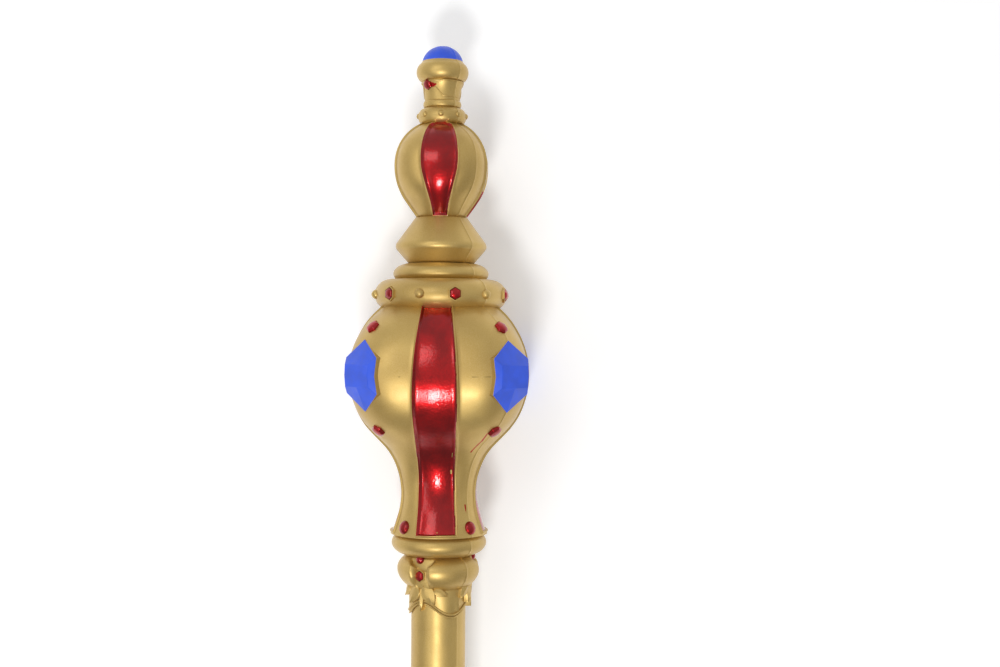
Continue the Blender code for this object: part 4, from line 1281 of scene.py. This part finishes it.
def coupling_profile(start):
    """The flared ring at the end of a gold tube, and the socket in its end face."""
    end = start + COUPLING_LENGTH
    mouth = TUBE_RADIUS + SOCKET_GAP
    edge = start + COUPLING_EDGE * COUPLING_LENGTH
    ring = ConeRing(start, TUBE_RADIUS, edge, COUPLING_RADIUS, end, mouth + SOCKET_LIP,
                    COUPLING_ROUNDING)
    return cone_ring_profile(ring, steps=14) + [(end, mouth), (end - SOCKET_DEPTH, mouth)]


def build_head_grip(moulding):
    """The collar with its festoon, the gold tube and its coupling."""
    draft = Draft()
    turns = ring_turns(np.full(1, COLLAR_RADIUS), seam_features(moulding), COLLAR_SPACING)
    top = KNOP_END - KNOP_OVERLAP
    rows = [(np.full(turns.shape[1], top), COLLAR_RADIUS)]
    rows += [(festoon_place(turns[0], offset), radius) for offset, radius in COLLAR_STEPS]
    rings = []
    for places, radius in rows:
        lift = seam_relief(moulding, turns, np.array([radius]))[0]
        rings.append(draft.add_points(staff_points(turns[0], places, radius + lift)))
    for lower, upper in zip(rings, rings[1:]):
        draft.join_rings(upper, lower)
    draft.close_ring(rings[0], staff_points(0.0, top, 0.0))
    draft.close_ring(rings[-1][::-1], staff_points(0.0, FESTOON_LOW, 0.0))
    around = np.linspace(0, TURN, FESTOON_STEPS + 1)[:-1]
    for offset, lift in FESTOON_CORDS:
        add_cord(draft, around, festoon_place(around, offset), even_radius(COLLAR_RADIUS),
                 FESTOON_CORD_RADIUS, lift)
    tube = straight((TUBE_START, TUBE_RADIUS), (HEAD_GRIP_END, TUBE_RADIUS), steps=20)
    plain_skin(draft, tube[:-1] + coupling_profile(HEAD_GRIP_END), moulding, TUBE_SPACING)
    draft.finish("head_grip", ("satin_gold",))


# ---- Shaft and foot -----------------------------------------------------------------------------

def build_shaft(moulding):
    """The red tube, which ends inside both sockets."""
    low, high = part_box("red_shaft")
    start = (TIP.x - high.x) / math.cos(LEAN)
    end = (TIP.x - low.x) / math.cos(LEAN)
    draft = Draft()
    tube = straight((start + SHAFT_END_GAP, TUBE_RADIUS), (end - SHAFT_END_GAP, TUBE_RADIUS),
                    steps=60)
    plain_skin(draft, tube, moulding, SHAFT_SPACING)
    draft.finish("red_tube", ("candy_red",), "red_shaft")


def build_foot_grip(moulding):
    """The foot's gold tube and its coupling."""
    draft = Draft()
    tube = straight((FOOT_BEAD.middle, TUBE_RADIUS), (FOOT_GRIP_END, TUBE_RADIUS), steps=16)
    plain_skin(draft, flipped_to_foot(tube[:-1] + coupling_profile(FOOT_GRIP_END)), moulding,
               TUBE_SPACING)
    draft.finish("foot_grip", ("satin_gold",), "foot_section")


def build_foot(moulding):
    """The foot's ball, its studded ring, the framed cup and the bead above it."""
    draft = Draft()
    cup = [(place, foot_cup_radius(SCEPTRE_LENGTH - place))
           for place in np.linspace(FOOT_CUP_START - FOOT_CUP_OVERLAP,
                                    FOOT_CUP_END + FOOT_CUP_OVERLAP, 30)]
    for profile in (dome_profile(BALL_RADIUS, math.radians(82), steps=26),
                    bead_profile(FOOT_RING_BEAD, steps=34, end=0.97), cup,
                    bead_profile(FOOT_BEAD, steps=26)):
        plain_skin(draft, flipped_to_foot(profile), moulding, SHAFT_SPACING)
    ring = bead_radius(FOOT_RING_BEAD, flipped=True)
    for number in range(STONES_ROUND_A_RING):
        azimuth = TURN * (number + 0.5) / STONES_ROUND_A_RING
        spot = (azimuth, SCEPTRE_LENGTH - FOOT_RING_BEAD.middle, ring)
        if number % 2:
            add_cut_stone(draft, spot, FOOT_RED_STONE, 1)
        else:
            add_set_stone(draft, spot, FOOT_GOLD_STONE, 0, 0)
    middle = SCEPTRE_LENGTH - FOOT_CUP_STONE_PLACE
    for azimuth in FOOT_CUP_STONE_AZIMUTHS:
        add_cut_stone(draft, (azimuth, middle, foot_cup_radius), CUP_STONE, 0)
    add_cup_cords(draft, foot_cup_radius, FOOT_CUP_STONE_AZIMUTHS, middle, FOOT_CUP_FIELD)
    draft.finish("foot", ("satin_gold", "candy_red"), "foot_section")


# ---- Stage --------------------------------------------------------------------------------------

FLOOR_REACH = 4.0
FLOOR_SHADE = 0.97
ROOM_FADE = (-0.9, 0.6)
# A light's direction from the main bulb leans to the side and towards the foot; then come its
# width across the staff, its length along it and its brightness.
StudioLight = namedtuple("StudioLight", "name aside footward width length brightness")
STUDIO_LIGHTS = (
    StudioLight("key", -4, 28, 0.22, 0.20, 46.0),
    StudioLight("left_strip", -36, 7, 0.26, 0.80, 1.9),
    StudioLight("over_the_tip", -20, -25, 0.50, 0.50, 2.4),
)


def studio_direction(aside, footward):
    """The way from the main bulb to a light, from its two leans in degrees."""
    return Vector((-math.tan(math.radians(footward)), -math.tan(math.radians(aside)),
                   1.0)).normalized()


def placed(place, *axes):
    """The matrix of a thing at that place, with its own X, Y and Z along these axes."""
    return Matrix.Translation(place) @ Matrix(axes).transposed().to_4x4()


def build_lights(stage):
    """Soft rectangular lights, each turned to the main bulb."""
    middle = Vector(staff_points(0.0, BULB_MIDDLE, 0.0))
    for studio_light in STUDIO_LIGHTS:
        direction = studio_direction(studio_light.aside, studio_light.footward)
        across = Vector((1.0, 0.0, 0.0)).cross(direction).normalized()
        along = direction.cross(across)
        light = bpy.data.lights.new(studio_light.name, "AREA")
        light.shape = "RECTANGLE"
        light.size, light.size_y = studio_light.width, studio_light.length
        light.energy = studio_light.brightness * math.pi * light.size * light.size_y
        place = middle + direction * stage.light_distance
        add_object(studio_light.name, light).matrix_world = placed(place, across, along, direction)


def build_camera(stage):
    """A camera square to the staff, a little to its side, with the tip up in the picture."""
    turn = stage.camera_turn
    axis_point = Vector((TIP.x - stage.camera_place * math.cos(LEAN), 0.0,
                         TIP.z - stage.camera_place * math.sin(LEAN)))
    foot_way = Vector((-math.cos(LEAN), 0.0, -math.sin(LEAN)))
    up = Vector((-math.sin(LEAN), 0.0, math.cos(LEAN)))
    out = up * math.cos(turn) + Vector((0.0, -math.sin(turn), 0.0))
    aside = Vector((0.0, -math.cos(turn), 0.0)) - up * math.sin(turn)
    down = foot_way * math.cos(stage.camera_roll) + aside * math.sin(stage.camera_roll)
    right = aside * math.cos(stage.camera_roll) - foot_way * math.sin(stage.camera_roll)
    place = axis_point + out * stage.camera_distance + aside * stage.camera_aside
    data = bpy.data.cameras.new("camera")
    data.lens = stage.focal_length
    camera = add_object("camera", data)
    camera.matrix_world = placed(place, right, -down, out)
    bpy.context.scene.camera = camera


def build_floor(stage):
    """A broad pale floor."""
    mesh = bpy.data.meshes.new("floor")
    mesh.from_pydata([(-FLOOR_REACH, -FLOOR_REACH, 0.0), (FLOOR_REACH, -FLOOR_REACH, 0.0),
                      (FLOOR_REACH, FLOOR_REACH, 0.0), (-FLOOR_REACH, FLOOR_REACH, 0.0)],
                     [], [(0, 1, 2, 3)])
    material, tree, shader, coordinates = new_paint("floor", metallic=0.0, coat=0.0,
                                                    coat_roughness=0.0)
    shader.inputs["Roughness"].default_value = 0.9
    shader.inputs["Specular IOR Level"].default_value = 0.1
    shader.inputs["Emission Color"].default_value = (1.0, 1.0, 1.0, 1.0)
    shader.inputs["Emission Strength"].default_value = stage.floor_glow
    shade = tuple(FLOOR_SHADE * value for value in stage.floor)
    stains = cloud(tree, coordinates, size=0.15, detail=3.0)
    connect(tree, shader, {"Base Color": mix_colours(tree, stains, shade, stage.floor)})
    mesh.materials.append(material)
    floor = add_object("floor", mesh)


def build_room(stage):
    """The white room round the floor, brighter on the tip's side."""
    world = bpy.data.worlds.new("white_room")
    world.use_nodes = True
    tree = world.node_tree
    background = tree.nodes["Background"]
    background.inputs["Color"].default_value = (1.0, 1.0, 1.0, 1.0)
    way = add_node(tree, "ShaderNodeSeparateXYZ",
                   {"Vector": add_node(tree, "ShaderNodeTexCoord").outputs["Generated"]})
    strength = step_between(tree, way.outputs["X"], *ROOM_FADE, stage.far_surround, stage.surround)
    connect(tree, background, {"Strength": strength})
    bpy.context.scene.world = world
    bpy.context.scene.view_settings.view_transform = "Standard"


# ---- Operators ----------------------------------------------------------------------------------

class SCEPTRE_OT_stage(bpy.types.Operator):
    """Sets up the floor, the room, the lights and the camera"""
    bl_idname = "sceptre.stage"
    bl_label = "Stage"

    def execute(self, context):
        stage = context.scene.sceptre_stage
        build_floor(stage)
        build_room(stage)
        build_lights(stage)
        build_camera(stage)
        return {"FINISHED"}


class SCEPTRE_OT_tip(bpy.types.Operator):
    """Builds the blue dome, its rim, the cup and the studded neck ring"""
    bl_idname = "sceptre.tip"
    bl_label = "Tip"

    def execute(self, context):
        build_tip(context.scene.sceptre_moulding)
        return {"FINISHED"}


class SCEPTRE_OT_small_bulb(bpy.types.Operator):
    """Builds the small bulb with its red panels"""
    bl_idname = "sceptre.small_bulb"
    bl_label = "Small Bulb"

    def execute(self, context):
        build_small_bulb(context.scene.sceptre_moulding)
        return {"FINISHED"}


class SCEPTRE_OT_rings(bpy.types.Operator):
    """Builds the double cone, the disk ring, the gem ring and the base ring"""
    bl_idname = "sceptre.rings"
    bl_label = "Rings"

    def execute(self, context):
        moulding = context.scene.sceptre_moulding
        build_cones(moulding)
        build_gem_ring(moulding)
        build_base_ring(moulding)
        return {"FINISHED"}


class SCEPTRE_OT_main_bulb(bpy.types.Operator):
    """Builds the large bulb with its waist, flare and red panels"""
    bl_idname = "sceptre.main_bulb"
    bl_label = "Main Bulb"

    def execute(self, context):
        build_main_bulb(context.scene.sceptre_moulding)
        return {"FINISHED"}


class SCEPTRE_OT_stones(bpy.types.Operator):
    """Builds the large blue stones and the small red ones on the bulb"""
    bl_idname = "sceptre.stones"
    bl_label = "Stones"

    def execute(self, context):
        for number, azimuth in enumerate(LOBE_AZIMUTHS):
            build_blue_gem(azimuth, f"blue_stone_{number + 1}")
        build_bulb_stones()
        return {"FINISHED"}


class SCEPTRE_OT_knop(bpy.types.Operator):
    """Builds the knop with its cushions, stones and leaves"""
    bl_idname = "sceptre.knop"
    bl_label = "Knop"

    def execute(self, context):
        build_knop(context.scene.sceptre_moulding)
        return {"FINISHED"}


class SCEPTRE_OT_head_grip(bpy.types.Operator):
    """Builds the collar, the gold tube under the head and its coupling"""
    bl_idname = "sceptre.head_grip"
    bl_label = "Head Grip"

    def execute(self, context):
        build_head_grip(context.scene.sceptre_moulding)
        return {"FINISHED"}


class SCEPTRE_OT_shaft(bpy.types.Operator):
    """Builds the red tube"""
    bl_idname = "sceptre.shaft"
    bl_label = "Red Shaft"

    def execute(self, context):
        build_shaft(context.scene.sceptre_moulding)
        return {"FINISHED"}


class SCEPTRE_OT_foot(bpy.types.Operator):
    """Builds the foot's grip, cup, ring and ball"""
    bl_idname = "sceptre.foot"
    bl_label = "Foot"

    def execute(self, context):
        moulding = context.scene.sceptre_moulding
        build_foot_grip(moulding)
        build_foot(moulding)
        return {"FINISHED"}


OPERATORS = (
    SCEPTRE_OT_stage, SCEPTRE_OT_tip, SCEPTRE_OT_small_bulb, SCEPTRE_OT_rings,
    SCEPTRE_OT_main_bulb, SCEPTRE_OT_stones, SCEPTRE_OT_knop, SCEPTRE_OT_head_grip,
    SCEPTRE_OT_shaft, SCEPTRE_OT_foot,
)


class SCEPTRE_PT_panel(bpy.types.Panel):
    """Lists the sceptre's pieces and what may be changed on them"""
    bl_idname = "SCEPTRE_PT_panel"
    bl_label = "Costume Sceptre"
    bl_space_type = "VIEW_3D"
    bl_region_type = "UI"
    bl_category = "Sceptre"

    def draw(self, context):
        for group in (context.scene.sceptre_paint, context.scene.sceptre_moulding,
                      context.scene.sceptre_stage):
            box = self.layout.box()
            for key in group.__annotations__:
                box.prop(group, key)
        for operator in OPERATORS:
            self.layout.operator(operator.bl_idname)


GROUPS = {
    "sceptre_paint": SceptrePaint,
    "sceptre_moulding": SceptreMoulding,
    "sceptre_stage": SceptreStage,
}


def register():
    for group in GROUPS.values():
        bpy.utils.register_class(group)
    for operator in OPERATORS:
        bpy.utils.register_class(operator)
    bpy.utils.register_class(SCEPTRE_PT_panel)
    for name, group in GROUPS.items():
        setattr(bpy.types.Scene, name, PointerProperty(type=group))


def unregister():
    for name in GROUPS:
        delattr(bpy.types.Scene, name)
    bpy.utils.unregister_class(SCEPTRE_PT_panel)
    for operator in reversed(OPERATORS):
        bpy.utils.unregister_class(operator)
    for group in reversed(GROUPS.values()):
        bpy.utils.unregister_class(group)


def main():
    register()
    bpy.ops.sceptre.stage()
    bpy.ops.sceptre.tip()
    bpy.ops.sceptre.small_bulb()
    bpy.ops.sceptre.rings()
    bpy.ops.sceptre.main_bulb()
    bpy.ops.sceptre.stones()
    bpy.ops.sceptre.knop()
    bpy.ops.sceptre.head_grip()
    bpy.ops.sceptre.shaft()
    bpy.ops.sceptre.foot()


if __name__ == "__main__":
    main()
